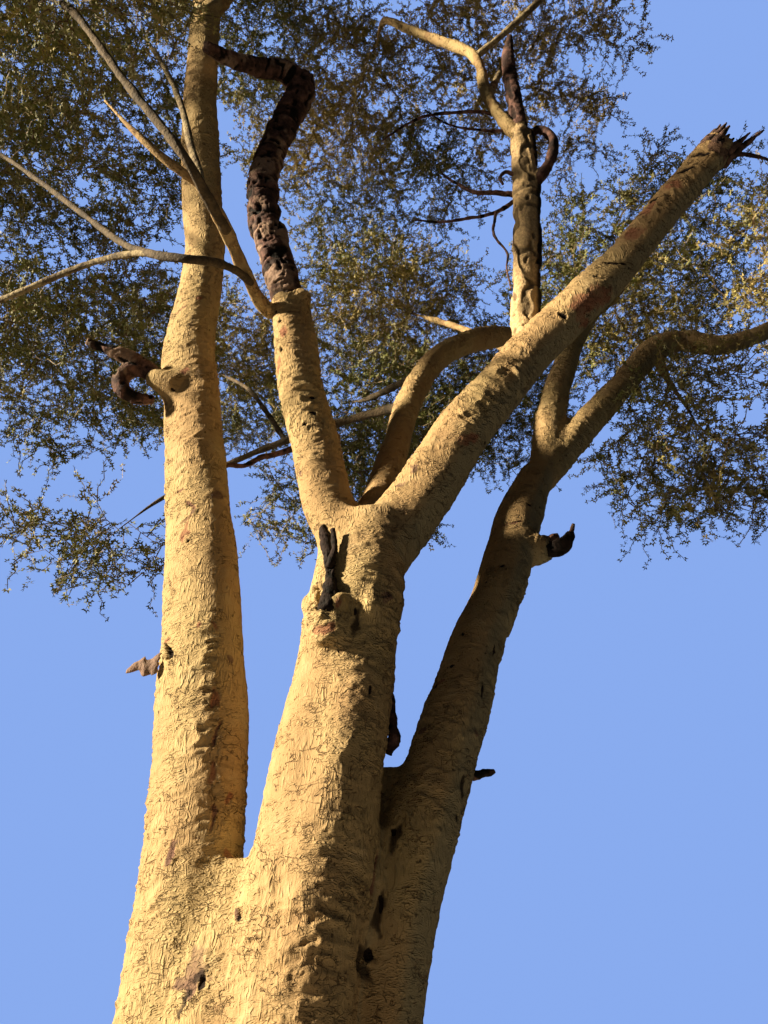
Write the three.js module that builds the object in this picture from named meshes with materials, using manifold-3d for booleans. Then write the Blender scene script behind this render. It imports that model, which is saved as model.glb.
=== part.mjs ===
// Acacia tree of the fever tree kind: three stems that part from one flared base, with live and
// broken boughs under a wide, open crown. Millimetres, +Z up. The origin lies in the flat cut at
// ground level, under the fused base. +X is to the right and +Y away from someone who faces the tree.
import * as THREE from 'three';
import { mergeVertices } from 'three/addons/utils/BufferGeometryUtils.js';
import Module from 'manifold-3d';

const wasm = await Module();
wasm.setup();

// Driving dimensions
const GAP = 0.35;                // clear space between neighbouring solids
const BURIED = 300;              // how far a stem is drawn on below the ground before the flat cut
const FLARE_HEIGHT = 900;        // height over which the root flare dies out
const FLARE = 0.45;              // share by which the flare widens a stem at ground level
const FLARE_LOBES = 4;           // root ridges round each stem
const FLARE_EVEN = 0.6;          // share of the flare that goes all round; the rest is in the ridges
const CROOKED = 0.045;           // how far a limb's section is from round
const CROOKED_THIRD = 0.6;       // how strong its three-sided part is beside the two-sided one
const STEEP = 0.8;               // a heading this close to +X takes +Y as its side
const STEM_SIDES = 12;
const BOUGH_SIDES = 9;
const LIMB_SIDES = 6;
const RINGS_PER_SPAN = 1;        // sections of a limb for each span between stations
const MASS_DETAIL = 2;           // subdivisions of a foliage mass
const MASS_LUMPS = 0.15;         // depth of the lumps on a foliage mass
const UNDERSIDE = 0.7;           // a mass is flatter below its middle than above
const MASS_WAVES = 6;            // waves that add up to the lumps
const SEED_GAP = 10;             // waves set aside for each mass
const WAVE_DRAWS = 5;            // numbers drawn for each wave: its heading, turns and start
const FEWEST_TURNS = 2;
const MORE_TURNS = 4;
const GROUND_HALF = 3000;        // half width of the block that cuts the base flat
const DRAW_STRIDE = 127.1;       // the three constants of the repeatable draw
const DRAW_START = 11.7;
const DRAW_SPREAD = 43758.5453;

// Stations are [x, y, z, radius] along a limb's middle line, from its foot to its tip.
// The three stems, each in the part that is fused into the base and the part that stands free
const STEM_LEFT = {
  fused: [[-350, 40, 0, 320], [-405, 70, 990, 268], [-430, 90, 1905, 250], [-445, 60, 2680, 247],
    [-495, -10, 3385, 247]],
  free: [[-570, -60, 4000, 228], [-710, -60, 4775, 205], [-885, -90, 5690, 194],
    [-970, -150, 6170, 188], [-955, -345, 7185, 170], [-1000, -550, 7600, 161],
    [-1070, -960, 8485, 144], [-1085, -1290, 9405, 132]],
};
const STEM_MIDDLE = {
  fused: [[60, -100, 0, 370], [90, -150, 1000, 300], [115, -180, 1900, 268], [195, -180, 2610, 280],
    [240, -200, 3030, 276], [305, -220, 3400, 268]],
  free: [[340, -250, 3780, 268], [385, -270, 4160, 258], [430, -290, 4450, 225]],
};
const STEM_RIGHT = {
  fused: [[340, 140, 0, 310], [420, 90, 1010, 235], [500, 0, 1890, 208], [595, -60, 2380, 203],
    [695, -90, 2660, 193], [915, -20, 3310, 180]],
  free: [[1065, 70, 3790, 169], [1240, 170, 4195, 168], [1500, 460, 5010, 168],
    [1770, 710, 5680, 160]],
};

// Ridges of wood that fill the crotches between the stems
const SADDLES = [
  [[-140, -40, 900, 280], [-155, -70, 1900, 220], [-160, -110, 2560, 90]],
  [[330, 60, 900, 250], [405, 60, 2150, 165], [490, 50, 2760, 125], [550, 40, 3040, 85]],
];

// Swollen collars round the foot of a dead stub
const COLLARS = {
  stem_left: [[-930, -180, 5720, 143], [-1110, -195, 5790, 119], [-1180, -205, 5830, 79]],
  stem_middle: [[320, -340, 3520, 150], [225, -400, 3620, 160], [185, -410, 3730, 120]],
  stem_right: [[1425, 340, 4715, 113], [1540, 300, 4635, 118], [1640, 260, 4605, 87]],
};

// Live boughs and the limbs that carry the crown
const BOUGHS = {
  bough_middle_left: [[350, -260, 4050, 185], [285, -270, 4300, 182], [180, -275, 4550, 165],
    [75, -310, 5030, 157], [-55, -380, 5520, 154], [-135, -450, 6030, 146], [-185, -500, 6300, 130]],
  bough_middle_right: [[470, -270, 4200, 225], [590, -275, 4380, 212], [775, -320, 4650, 195],
    [1030, -400, 5070, 182], [1300, -450, 5430, 176], [1565, -500, 5780, 172], [1890, -600, 6100, 160],
    [2205, -700, 6420, 142], [2530, -850, 6800, 136], [2805, -1000, 7090, 136], [3055, -1150, 7320, 132]],
  bough_back: [[430, -230, 4300, 140], [455, -110, 4610, 133], [480, 70, 4900, 122],
    [605, 280, 5540, 115], [740, 540, 6345, 120], [1000, 800, 7160, 122], [1380, 1000, 7660, 118],
    [1840, 1200, 8015, 108]],
  bough_back_out: [[1780, 1180, 7980, 96], [1850, 1230, 8030, 96], [1950, 1700, 8350, 86],
    [1700, 2600, 8800, 70], [1400, 3300, 9000, 50]],
  bough_right_out: [[1740, 690, 5580, 140], [1945, 780, 5885, 142], [2325, 820, 6390, 132],
    [2740, 850, 6900, 124], [3115, 850, 7360, 124], [3340, 850, 7500, 118]],
  bough_right_far: [[3290, 850, 7460, 108], [3420, 850, 7500, 112], [3675, 800, 7360, 98],
    [3900, 750, 7370, 86], [4175, 700, 7470, 78], [4600, 650, 7800, 66], [5000, 620, 8050, 50]],
  bough_right_up: [[1770, 700, 5600, 140], [1840, 740, 5790, 138], [2020, 850, 6545, 129],
    [2230, 1000, 7200, 118], [2585, 1200, 8095, 102], [3000, 1500, 8900, 82], [3300, 1700, 9300, 60]],
};
const CROWN_LIMBS = {
  bough_top_left: [[-1085, -1290, 9255, 105], [-1150, -1330, 9850, 98], [-1310, -1250, 10600, 84],
    [-1300, -1100, 11500, 62], [-1150, -950, 12200, 42]],
  bough_top_right: [[-1075, -1290, 9265, 94], [-860, -1440, 9850, 86], [-450, -1800, 10350, 68],
    [0, -2150, 10700, 50], [300, -2350, 11000, 34]],
  limb_front: [[-180, -480, 6200, 52], [-320, -520, 6180, 50], [-436, -850, 6155, 46],
    [-503, -1200, 6105, 42], [-545, -1400, 6050, 38], [-617, -1500, 6115, 33],
    [-746, -1600, 6135, 27], [-935, -1700, 6255, 22], [-1300, -1700, 6800, 18]],
  limb_front_up: [[-495, -1180, 6100, 32], [-555, -1480, 6000, 30], [-640, -1700, 6020, 29],
    [-1090, -1850, 6680, 28], [-1600, -1980, 7500, 26], [-1900, -1900, 7950, 22]],
  limb_front_high: [[-610, -1490, 6110, 24], [-640, -1500, 6250, 24], [-733, -1500, 6550, 23],
    [-922, -1500, 7230, 21], [-1190, -1500, 7930, 18], [-1520, -1500, 8600, 14]],
  bough_left: [[-400, -750, 6160, 30], [-455, -980, 5980, 28], [-530, -1200, 5750, 26],
    [-631, -1320, 5600, 25], [-795, -1300, 5660, 24], [-919, -1250, 5770, 23],
    [-1130, -1150, 6000, 22], [-1680, -950, 6740, 21], [-2210, -800, 7430, 20],
    [-2810, -650, 8150, 18], [-3300, -450, 8700, 15]],
  bough_left_low: [[-915, -1252, 5765, 21], [-1082, -1180, 5868, 21], [-1366, -1050, 5975, 20],
    [-1628, -950, 5977, 19], [-2064, -800, 5911, 18], [-2600, -500, 6250, 16],
    [-2850, 50, 6850, 14], [-2950, 500, 7350, 12]],
  limb_low_left: [[735, 600, 6350, 42], [300, 950, 6560, 36], [-390, 1200, 6500, 30],
    [-920, 1400, 6400, 24], [-1540, 1500, 6040, 18], [-1850, 1500, 5700, 12]],
  limb_back_left: [[-390, 1210, 6500, 26], [-700, 1600, 7300, 26], [-1100, 2200, 8300, 24],
    [-1600, 2700, 9100, 20]],
  limb_back_up: [[1000, 810, 7130, 46], [700, 1400, 7500, 40], [350, 2000, 7900, 34],
    [150, 2350, 8200, 26]],
  limb_back_high: [[1950, 1690, 8340, 52], [1500, 2150, 9300, 44], [900, 2600, 10200, 34]],
  limb_right_low: [[3110, 860, 7330, 56], [3200, 950, 7050, 48], [3350, 1050, 6750, 36]],
  limb_top: [[1690, -790, 8200, 60], [1578, -800, 8430, 54], [1464, -800, 8950, 52],
    [1406, -800, 9790, 50], [1105, -700, 10420, 48], [785, -600, 11000, 44], [520, -500, 11500, 38],
    [420, -100, 11850, 28]],
  limb_top_right: [[1470, -795, 8900, 36], [1650, -640, 9700, 32], [1900, -300, 10900, 28],
    [2150, 50, 11900, 20]],
  limb_top_front: [[1405, -800, 9740, 34], [1900, -1100, 10000, 30], [2550, -1600, 10350, 24],
    [2900, -1900, 10550, 18]],
};

// Dead wood, left as it broke or dried
const DEAD_WOOD = {
  dead_bough: [[-170, -480, 6200, 110], [-190, -505, 6320, 112], [-340, -550, 6875, 126], [-465, -600, 7390, 130], [-495, -640, 7755, 128],
    [-445, -690, 8155, 121], [-355, -750, 8535, 122], [-250, -820, 8845, 123],
    [-240, -880, 9130, 109]],
  dead_arm: [[-245, -870, 9000, 97], [-380, -950, 9065, 98], [-545, -1020, 8980, 83],
    [-760, -1180, 8720, 73], [-935, -1400, 8430, 56]],
  dead_snag: [[1480, -490, 5600, 104], [1515, -500, 5810, 106], [1550, -500, 6200, 102],
    [1620, -600, 6865, 102], [1685, -700, 7640, 106], [1705, -790, 8250, 98]],
  dead_spike: [[1695, -780, 8120, 70], [1684, -800, 8300, 72], [1686, -850, 8775, 70],
    [1690, -900, 9400, 64], [1740, -950, 9870, 38]],
  snag_loop: [[1730, -780, 8150, 38], [1850, -800, 8300, 42], [1945, -800, 8180, 45],
    [1920, -800, 7880, 48], [1800, -760, 7600, 44], [1715, -710, 7520, 38]],
  stub_left: [[-1100, -190, 5785, 67], [-1230, -235, 5875, 67], [-1395, -310, 5935, 57],
    [-1530, -345, 5975, 43], [-1630, -370, 6005, 26]],
  stub_left_curl: [[-1210, -220, 5845, 48], [-1305, -255, 5820, 60], [-1370, -245, 5735, 62],
    [-1330, -245, 5630, 55], [-1225, -215, 5575, 48], [-1110, -180, 5600, 40]],
  stub_middle: [[220, -515, 3655, 48], [230, -500, 3770, 44], [228, -478, 3910, 40],
    [208, -448, 4070, 38], [172, -395, 4245, 34], [148, -400, 4330, 24]],
  stub_right: [[1595, 270, 4605, 57], [1715, 220, 4595, 53], [1770, 195, 4660, 40],
    [1810, 190, 4755, 19]],
};

// Foliage masses: middle of the mass and its half width, half depth and half height
const MASSES = {
  foliage_top: { middle: [-1150, -850, 12900], half: [2100, 1850, 1150] },
  foliage_top_front: { middle: [600, -2500, 11500], half: [1900, 1500, 1000] },
  foliage_top_right: { middle: [2450, 400, 12600], half: [1800, 1650, 1050] },
  foliage_top_back: { middle: [350, 1500, 12400], half: [1900, 1700, 1100] },
  foliage_near_left: { middle: [-2150, -1950, 8200], half: [1250, 1000, 950] },
  foliage_far_left: { middle: [-3300, -250, 9100], half: [2000, 1500, 1250] },
  foliage_left_back: { middle: [-2900, 1250, 7750], half: [1450, 1350, 1150] },
  foliage_low_left: { middle: [-2100, 1500, 5500], half: [850, 700, 450] },
  foliage_back_left: { middle: [-1900, 3300, 9800], half: [1650, 1450, 1300] },
  foliage_back_middle: { middle: [150, 2950, 7700], half: [1550, 1050, 1800] },
  foliage_back_high: { middle: [300, 3100, 10900], half: [1700, 1400, 1100] },
  foliage_back_right: { middle: [2100, 4000, 9700], half: [1700, 1300, 1250] },
  foliage_right_back: { middle: [3750, 2100, 10000], half: [1650, 1550, 1350] },
  foliage_right_low: { middle: [3600, 1150, 6400], half: [1300, 1150, 850] },
  foliage_far_right: { middle: [5500, 550, 8600], half: [1500, 1600, 1200] },
  foliage_right_front: { middle: [3200, -2400, 10900], half: [1600, 1300, 950] },
};

const BARK = { color: 0xcdb87a, roughness: 0.85, metalness: 0 };
const DEAD = { color: 0x4a3428, roughness: 0.9, metalness: 0 };
const LEAVES = { color: 0x75803f, roughness: 0.8, metalness: 0 };

// A repeatable number from 0 to 1 for each seed
function chance(seed) {
  const value = Math.sin(seed * DRAW_STRIDE + DRAW_START) * DRAW_SPREAD;
  return value - Math.floor(value);
}

// A closed mesh as a solid that can be joined and cut
function solid(geometry) {
  geometry.deleteAttribute('normal');
  geometry.deleteAttribute('uv');
  const merged = mergeVertices(geometry);
  return new wasm.Manifold(new wasm.Mesh({
    numProp: 3,
    vertProperties: new Float32Array(merged.attributes.position.array),
    triVerts: new Uint32Array(merged.index.array),
  }));
}

function geometryOf(manifold) {
  const mesh = manifold.getMesh();
  const geometry = new THREE.BufferGeometry();
  geometry.setAttribute('position', new THREE.BufferAttribute(new Float32Array(mesh.vertProperties), 3));
  geometry.setIndex(Array.from(mesh.triVerts));
  geometry.computeVertexNormals();
  return geometry;
}

// The largest piece of a solid, without the slivers that a cut leaves beside it
function mainPiece(manifold) {
  const pieces = manifold.decompose();
  pieces.sort((a, b) => b.volume() - a.volume());
  return pieces[0];
}

function radiusAt(stations, t) {
  const place = t * (stations.length - 1);
  const index = Math.min(Math.floor(place), stations.length - 2);
  return THREE.MathUtils.lerp(stations[index][3], stations[index + 1][3], place - index);
}

// How much the root flare and the crooked section widen a limb at one angle
function sectionAt(angle, height, phase, flared) {
  const third = CROOKED_THIRD * Math.cos(3 * angle + 2 * phase);
  const crooked = CROOKED * (Math.cos(2 * angle + phase) + third);
  if (!flared || height > FLARE_HEIGHT) return 1 + crooked;
  const low = 1 - Math.max(height, 0) / FLARE_HEIGHT;
  const ridges = FLARE_EVEN + (1 - FLARE_EVEN) * Math.cos(FLARE_LOBES * angle + phase);
  return 1 + crooked + FLARE * low * low * ridges;
}

// A closed, tapering tube along the stations, from share `from` to share `to` of its length.
// `grow` widens it on every side, for cutting its neighbours with clear space.
function sweep(stations, { sides, from = 0, to = 1, phase = 0, grow = 0, flared = false }) {
  const points = stations.map(([x, y, z]) => new THREE.Vector3(x, y, z));
  const line = new THREE.CatmullRomCurve3(points, false, 'centripetal');
  const rings = Math.max(3, Math.round((to - from) * (stations.length - 1) * RINGS_PER_SPAN) + 1);
  const positions = [];
  const index = [];
  let side = null;
  for (let ring = 0; ring < rings; ring++) {
    const t = THREE.MathUtils.lerp(from, to, ring / (rings - 1));
    const along = line.getTangent(t);
    const centre = line.getPoint(t);
    if (ring === 0) centre.addScaledVector(along, -grow);
    if (ring === rings - 1) centre.addScaledVector(along, grow);
    side = side ?? new THREE.Vector3(...(Math.abs(along.x) < STEEP ? [1, 0, 0] : [0, 1, 0]));
    side = side.clone().addScaledVector(along, -side.dot(along)).normalize();
    const across = new THREE.Vector3().crossVectors(along, side);
    const radius = radiusAt(stations, t) + grow / Math.cos(Math.PI / sides);
    for (let corner = 0; corner < sides; corner++) {
      const angle = (2 * Math.PI * corner) / sides;
      const reach = radius * sectionAt(angle, centre.z, phase, flared);
      const point = centre.clone()
        .addScaledVector(side, Math.cos(angle) * reach)
        .addScaledVector(across, Math.sin(angle) * reach);
      positions.push(point.x, point.y, point.z);
    }
  }
  for (let ring = 0; ring < rings - 1; ring++) {
    for (let corner = 0; corner < sides; corner++) {
      const next = (corner + 1) % sides;
      const a = ring * sides + corner;
      const b = ring * sides + next;
      index.push(a, b, b + sides, a, b + sides, a + sides);
    }
  }
  for (let corner = 1; corner < sides - 1; corner++) {
    const last = (rings - 1) * sides;
    index.push(0, corner + 1, corner);
    index.push(last, last + corner, last + corner + 1);
  }
  const geometry = new THREE.BufferGeometry();
  geometry.setAttribute('position', new THREE.BufferAttribute(new Float32Array(positions), 3));
  geometry.setIndex(index);
  return solid(geometry);
}

// One uneven lump of foliage, flatter below than above; `grow` widens it for cutting its neighbours
function lump({ middle, half }, seed, grow = 0) {
  const geometry = new THREE.IcosahedronGeometry(1, MASS_DETAIL);
  const position = geometry.attributes.position;
  const direction = new THREE.Vector3();
  for (let vertex = 0; vertex < position.count; vertex++) {
    direction.fromBufferAttribute(position, vertex);
    let reach = 1;
    for (let wave = 0; wave < MASS_WAVES; wave++) {
      const first = (seed * SEED_GAP + wave) * WAVE_DRAWS;
      const heading = new THREE.Vector3(chance(first), chance(first + 1), chance(first + 2));
      heading.subScalar(0.5).normalize();
      const turns = FEWEST_TURNS + MORE_TURNS * chance(first + 3);
      const start = 2 * Math.PI * chance(first + 4);
      reach += (MASS_LUMPS / Math.sqrt(MASS_WAVES)) * Math.sin(turns * heading.dot(direction) + start);
    }
    const lower = direction.z < 0 ? UNDERSIDE : 1;
    position.setXYZ(
      vertex,
      middle[0] + direction.x * (reach * half[0] + grow),
      middle[1] + direction.y * (reach * half[1] + grow),
      middle[2] + direction.z * lower * (reach * half[2] + grow / UNDERSIDE),
    );
  }
  return solid(geometry);
}

// The solids made so far, each with the wider copy that cuts its later neighbours
const pieces = [];

function overlaps(a, b) {
  const first = a.boundingBox();
  const second = b.boundingBox();
  return [0, 1, 2].every((k) => first.min[k] < second.max[k] && second.min[k] < first.max[k]);
}

function place(name, body, wider, look) {
  let cut = body;
  for (const piece of pieces) {
    if (overlaps(cut, piece.wider)) cut = cut.subtract(piece.wider);
  }
  pieces.push({ name, body: mainPiece(cut), wider, look });
}

// The fused base, up to where the stems part, and the stems that stand free above it
function fusedShare(stem) {
  return stem.fused.length / (stem.fused.length + stem.free.length);
}

function stemStations(stem) {
  const [x, y, z, radius] = stem.fused[0];
  return [[x, y, z - BURIED, radius], ...stem.fused, ...stem.free];
}

function buildTrunk() {
  const stems = [STEM_LEFT, STEM_MIDDLE, STEM_RIGHT];
  const parts = { body: null, wider: null };
  for (const [key, grow] of [['body', 0], ['wider', GAP]]) {
    let joined = null;
    stems.forEach((stem, phase) => {
      const options = { sides: STEM_SIDES, to: fusedShare(stem), phase, grow, flared: true };
      const column = sweep(stemStations(stem), options);
      joined = joined ? joined.add(column) : column;
    });
    for (const saddle of SADDLES) {
      joined = joined.add(sweep(saddle, { sides: BOUGH_SIDES, grow }));
    }
    parts[key] = joined;
  }
  const underground = new THREE.BoxGeometry(2 * GROUND_HALF, 2 * GROUND_HALF, 2 * BURIED);
  underground.translate(0, 0, -BURIED);
  place('trunk', parts.body.subtract(solid(underground)), parts.wider, BARK);
}

function buildStem(name, stem, phase) {
  const stations = stemStations(stem);
  const collar = COLLARS[name];
  const make = (grow) => sweep(stations, { sides: STEM_SIDES, from: fusedShare(stem), phase, grow })
    .add(sweep(collar, { sides: BOUGH_SIDES, grow }));
  place(name, make(0), make(GAP), BARK);
}

function buildLimbs(limbs, sides, look) {
  Object.entries(limbs).forEach(([name, stations], phase) => {
    const make = (grow) => sweep(stations, { sides, phase, grow });
    place(name, make(0), make(GAP), look);
  });
}

function buildMasses() {
  Object.entries(MASSES).forEach(([name, mass], seed) => {
    place(name, lump(mass, seed), lump(mass, seed, GAP), LEAVES);
  });
}

buildTrunk();
buildStem('stem_left', STEM_LEFT, 0);
buildStem('stem_middle', STEM_MIDDLE, 1);
buildStem('stem_right', STEM_RIGHT, 2);
buildLimbs(BOUGHS, BOUGH_SIDES, BARK);
buildLimbs(DEAD_WOOD, LIMB_SIDES, DEAD);
buildLimbs(CROWN_LIMBS, LIMB_SIDES, BARK);
buildMasses();

const group = new THREE.Group();
for (const { name, body, look } of pieces) {
  const mesh = new THREE.Mesh(geometryOf(body), new THREE.MeshStandardMaterial(look));
  mesh.name = name;
  group.add(mesh);
}

export default group;
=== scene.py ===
"""Acacia tree of the fever tree kind, seen from its foot.

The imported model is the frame. The trunk, the boughs and the dead wood are replaced by meshes with the
relief of the bark, and each foliage mass by twigs and leaves that a seeded branching rule grows from
the limbs. Metres, +Z up, the origin in the flat cut at ground level.
"""

import bmesh
import bpy
import numpy as np
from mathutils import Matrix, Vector
from mathutils.bvhtree import BVHTree


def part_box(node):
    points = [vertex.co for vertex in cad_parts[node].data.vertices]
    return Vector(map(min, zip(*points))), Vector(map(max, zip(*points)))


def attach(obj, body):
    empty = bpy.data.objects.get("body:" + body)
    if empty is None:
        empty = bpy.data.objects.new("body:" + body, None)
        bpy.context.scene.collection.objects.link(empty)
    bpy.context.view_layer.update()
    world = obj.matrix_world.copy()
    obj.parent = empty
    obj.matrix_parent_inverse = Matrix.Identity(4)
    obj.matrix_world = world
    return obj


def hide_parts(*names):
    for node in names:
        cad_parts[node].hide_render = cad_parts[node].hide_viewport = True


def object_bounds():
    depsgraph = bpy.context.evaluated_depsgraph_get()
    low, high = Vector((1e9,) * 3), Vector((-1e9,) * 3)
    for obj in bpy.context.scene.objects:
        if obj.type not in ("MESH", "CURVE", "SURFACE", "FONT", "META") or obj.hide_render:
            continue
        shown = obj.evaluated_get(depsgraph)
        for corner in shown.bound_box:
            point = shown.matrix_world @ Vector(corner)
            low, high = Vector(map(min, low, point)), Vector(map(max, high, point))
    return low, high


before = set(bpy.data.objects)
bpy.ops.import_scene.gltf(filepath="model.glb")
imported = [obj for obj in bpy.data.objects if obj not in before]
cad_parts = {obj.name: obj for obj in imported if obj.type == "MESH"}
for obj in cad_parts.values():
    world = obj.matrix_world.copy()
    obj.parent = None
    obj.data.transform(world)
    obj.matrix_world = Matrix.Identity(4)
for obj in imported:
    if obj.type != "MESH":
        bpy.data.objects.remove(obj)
cad_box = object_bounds()

# The photograph and the camera that took it
PHOTO_WIDTH = 768
PHOTO_HEIGHT = 1024
EYE = Vector((0.52, -4.0, 1.6))
PITCH = np.radians(38)
FOCAL_PIXELS = 769
SENSOR = 36

# Root flare and crooked sections, as in the frame
BURIED = 0.3
FLARE_HEIGHT = 0.9
FLARE = 0.45
FLARE_LOBES = 4
TRUNK_SPLIT = 1.6      # height at which the trunk's mesh is parted in two
CROOKED = 0.045
# How far a stem's section is drawn out askew, which turns its front to the left where it is negative
ASKEW = {"stem_left": -0.18, "stem_middle": -0.06, "stem_right": 0.0}

# Grain of the meshes: voxels, the distance between a limb's rings, and how many sides it has
VOXEL = 0.021
DEAD_VOXEL = 0.017
RING_SPACING = 0.05
LIMB_SPACING = 0.035
DEAD_SPACING = 0.025
SPLINTER_SPACING = 0.015
TWIG_SPACING = 0.012
ROUND_SIDES = 40
DEAD_SIDES = 24
LIMB_SIDES = 14
SPLINTER_SIDES = 7

# How strongly and how often joined meshes are evened out, in all and where two limbs meet
EVEN_WEIGHT = 0.5
EVEN_ROUNDS = 3
CROTCH_WEIGHT = 0.6
CROTCH_ROUNDS = 24

# Heights of the relief
CRINKLE_HEIGHT = 0.021
SWELL_HEIGHT = 0.010
CRACK_DEPTH = 0.004
KNOB_HEIGHT = 0.018
PLATE_HEIGHT = 0.006
DRY_GRAIN_HEIGHT = 0.004
DRY_HOLE_DEPTH = 0.024
DRY_RING_DEPTH = 0.010

# Waves to the metre of each noise, across a limb both ways and along it
BENDS_BROAD = 7
BENDS_FINE = 23
DRY_BENDS = 9
SWELL_WAVES = (3.1, 3.1, 2.0)
WRINKLE_WAVES = (8, 8, 25)
FINE_WAVES = (15, 15, 40)
ROUGH_WAVES = (2.6, 2.6, 1.3)
PLATE_WAVES = (2.6, 2.6, 3.4)
KNOB_WAVES = (6, 6, 7)
DRY_PLATE_WAVES = (19, 19, 26)
DRY_HOLE_WAVES = (24, 24, 26)
DRY_HOLLOW_WAVES = (9, 9, 10)
DRY_RING_WAVES = (1.5, 1.5, 16)
PALE_WAVES = (5, 5, 6)
LIMB_WAVES = (9, 9, 7)
LIMB_FINE_WAVES = (30, 30, 22)
TWIG_BEND = 0.35       # how far a dead twig bends, in shares of its radius

# How far the noise that bends the others shifts them
BEND_BROAD = 0.030
BEND_FINE = 0.010
CRACK_WIDTH = 0.022    # a crack's width, as a share of the plates that it parts
WRINKLE_SHARE = 0.65   # how much of the crinkles are long wrinkles, the rest being fine ones

# Seeds of the noise
BARK_SEED = 100
DEAD_SEED = 300
DEAD_SEED_STEP = 70
MARK_SEED = 500
LIMB_SEED = 600
DEAD_TWIG_SEED = 900
LOOSE_TWIG_SEED = 950
TINT_SEED = 90

# Stations are (x, y, z, radius) along a limb's middle line, from its foot to its tip.
# The three stems, each in the part that is fused into the base and the part that stands free
STEM_LEFT = {
    "fused": [(-0.35, 0.04, 0, 0.32), (-0.405, 0.07, 0.99, 0.268), (-0.43, 0.09, 1.905, 0.25),
        (-0.445, 0.06, 2.68, 0.247), (-0.495, -0.01, 3.385, 0.247)],
    "free": [(-0.57, -0.06, 4, 0.228), (-0.71, -0.06, 4.775, 0.205), (-0.885, -0.09, 5.69, 0.194),
        (-0.97, -0.15, 6.17, 0.188), (-0.955, -0.345, 7.185, 0.17), (-1, -0.55, 7.6, 0.161),
        (-1.07, -0.96, 8.485, 0.144), (-1.085, -1.29, 9.405, 0.132)],
}
STEM_MIDDLE = {
    "fused": [(0.06, -0.1, 0, 0.37), (0.09, -0.15, 1, 0.3), (0.115, -0.18, 1.9, 0.268),
        (0.195, -0.18, 2.61, 0.28), (0.24, -0.2, 3.03, 0.276), (0.305, -0.22, 3.4, 0.268)],
    "free": [(0.34, -0.25, 3.78, 0.268), (0.385, -0.27, 4.16, 0.258), (0.43, -0.29, 4.45, 0.225)],
}
STEM_RIGHT = {
    "fused": [(0.34, 0.14, 0, 0.31), (0.42, 0.09, 1.01, 0.235), (0.5, 0, 1.89, 0.208),
        (0.595, -0.06, 2.38, 0.203), (0.695, -0.09, 2.66, 0.193), (0.915, -0.02, 3.31, 0.18)],
    "free": [(1.065, 0.07, 3.79, 0.169), (1.24, 0.17, 4.195, 0.168), (1.5, 0.46, 5.01, 0.168),
        (1.77, 0.71, 5.68, 0.16)],
}
STEMS = {"stem_left": STEM_LEFT, "stem_middle": STEM_MIDDLE, "stem_right": STEM_RIGHT}

# Ridges of wood that fill the crotches between the stems
SADDLES = [
    [(-0.14, -0.04, 0.9, 0.28), (-0.155, -0.07, 1.9, 0.22), (-0.16, -0.11, 2.56, 0.09)],
    [(0.33, 0.06, 0.9, 0.25), (0.405, 0.06, 2.15, 0.165), (0.49, 0.05, 2.76, 0.125),
        (0.55, 0.04, 3.04, 0.085)],
]

# Swollen collars round the foot of a dead stub
COLLARS = {
    "stem_left": [(-0.93, -0.18, 5.72, 0.143), (-1.11, -0.195, 5.79, 0.119), (-1.18, -0.205, 5.83, 0.079)],
    "stem_middle": [(0.32, -0.34, 3.52, 0.15), (0.225, -0.4, 3.62, 0.16), (0.185, -0.41, 3.73, 0.12)],
    "stem_right": [(1.425, 0.34, 4.715, 0.113), (1.54, 0.3, 4.635, 0.118), (1.64, 0.26, 4.605, 0.087)],
}

# Live boughs and the limbs that carry the crown
BOUGHS = {
    "bough_middle_left": [(0.35, -0.26, 4.05, 0.185), (0.285, -0.27, 4.3, 0.182),
        (0.18, -0.275, 4.55, 0.165), (0.075, -0.31, 5.03, 0.157), (-0.055, -0.38, 5.52, 0.154),
        (-0.135, -0.45, 6.03, 0.146), (-0.185, -0.5, 6.3, 0.13)],
    "bough_middle_right": [(0.47, -0.27, 4.2, 0.225), (0.59, -0.275, 4.38, 0.212),
        (0.775, -0.32, 4.65, 0.195), (1.03, -0.4, 5.07, 0.182), (1.3, -0.45, 5.43, 0.176),
        (1.565, -0.5, 5.78, 0.172), (1.89, -0.6, 6.1, 0.16), (2.205, -0.7, 6.42, 0.142),
        (2.53, -0.85, 6.8, 0.136), (2.805, -1, 7.09, 0.136), (3.055, -1.15, 7.32, 0.132)],
    "bough_back": [(0.43, -0.23, 4.3, 0.14), (0.455, -0.11, 4.61, 0.133), (0.48, 0.07, 4.9, 0.122),
        (0.605, 0.28, 5.54, 0.115), (0.74, 0.54, 6.345, 0.12), (1, 0.8, 7.16, 0.122),
        (1.38, 1, 7.66, 0.118), (1.84, 1.2, 8.015, 0.108)],
    "bough_back_out": [(1.78, 1.18, 7.98, 0.096), (1.85, 1.23, 8.03, 0.096), (1.95, 1.7, 8.35, 0.086),
        (1.7, 2.6, 8.8, 0.07), (1.4, 3.3, 9, 0.05)],
    "bough_right_out": [(1.74, 0.69, 5.58, 0.14), (1.945, 0.78, 5.885, 0.142), (2.325, 0.82, 6.39, 0.132),
        (2.74, 0.85, 6.9, 0.124), (3.115, 0.85, 7.36, 0.124), (3.34, 0.85, 7.5, 0.118)],
    "bough_right_far": [(3.29, 0.85, 7.46, 0.108), (3.42, 0.85, 7.5, 0.112), (3.675, 0.8, 7.36, 0.098),
        (3.9, 0.75, 7.37, 0.086), (4.175, 0.7, 7.47, 0.078), (4.6, 0.65, 7.8, 0.066),
        (5, 0.62, 8.05, 0.05)],
    "bough_right_up": [(1.77, 0.7, 5.6, 0.14), (1.84, 0.74, 5.79, 0.138), (2.02, 0.85, 6.545, 0.129),
        (2.23, 1, 7.2, 0.118), (2.585, 1.2, 8.095, 0.102), (3, 1.5, 8.9, 0.082), (3.3, 1.7, 9.3, 0.06)],
}
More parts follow.
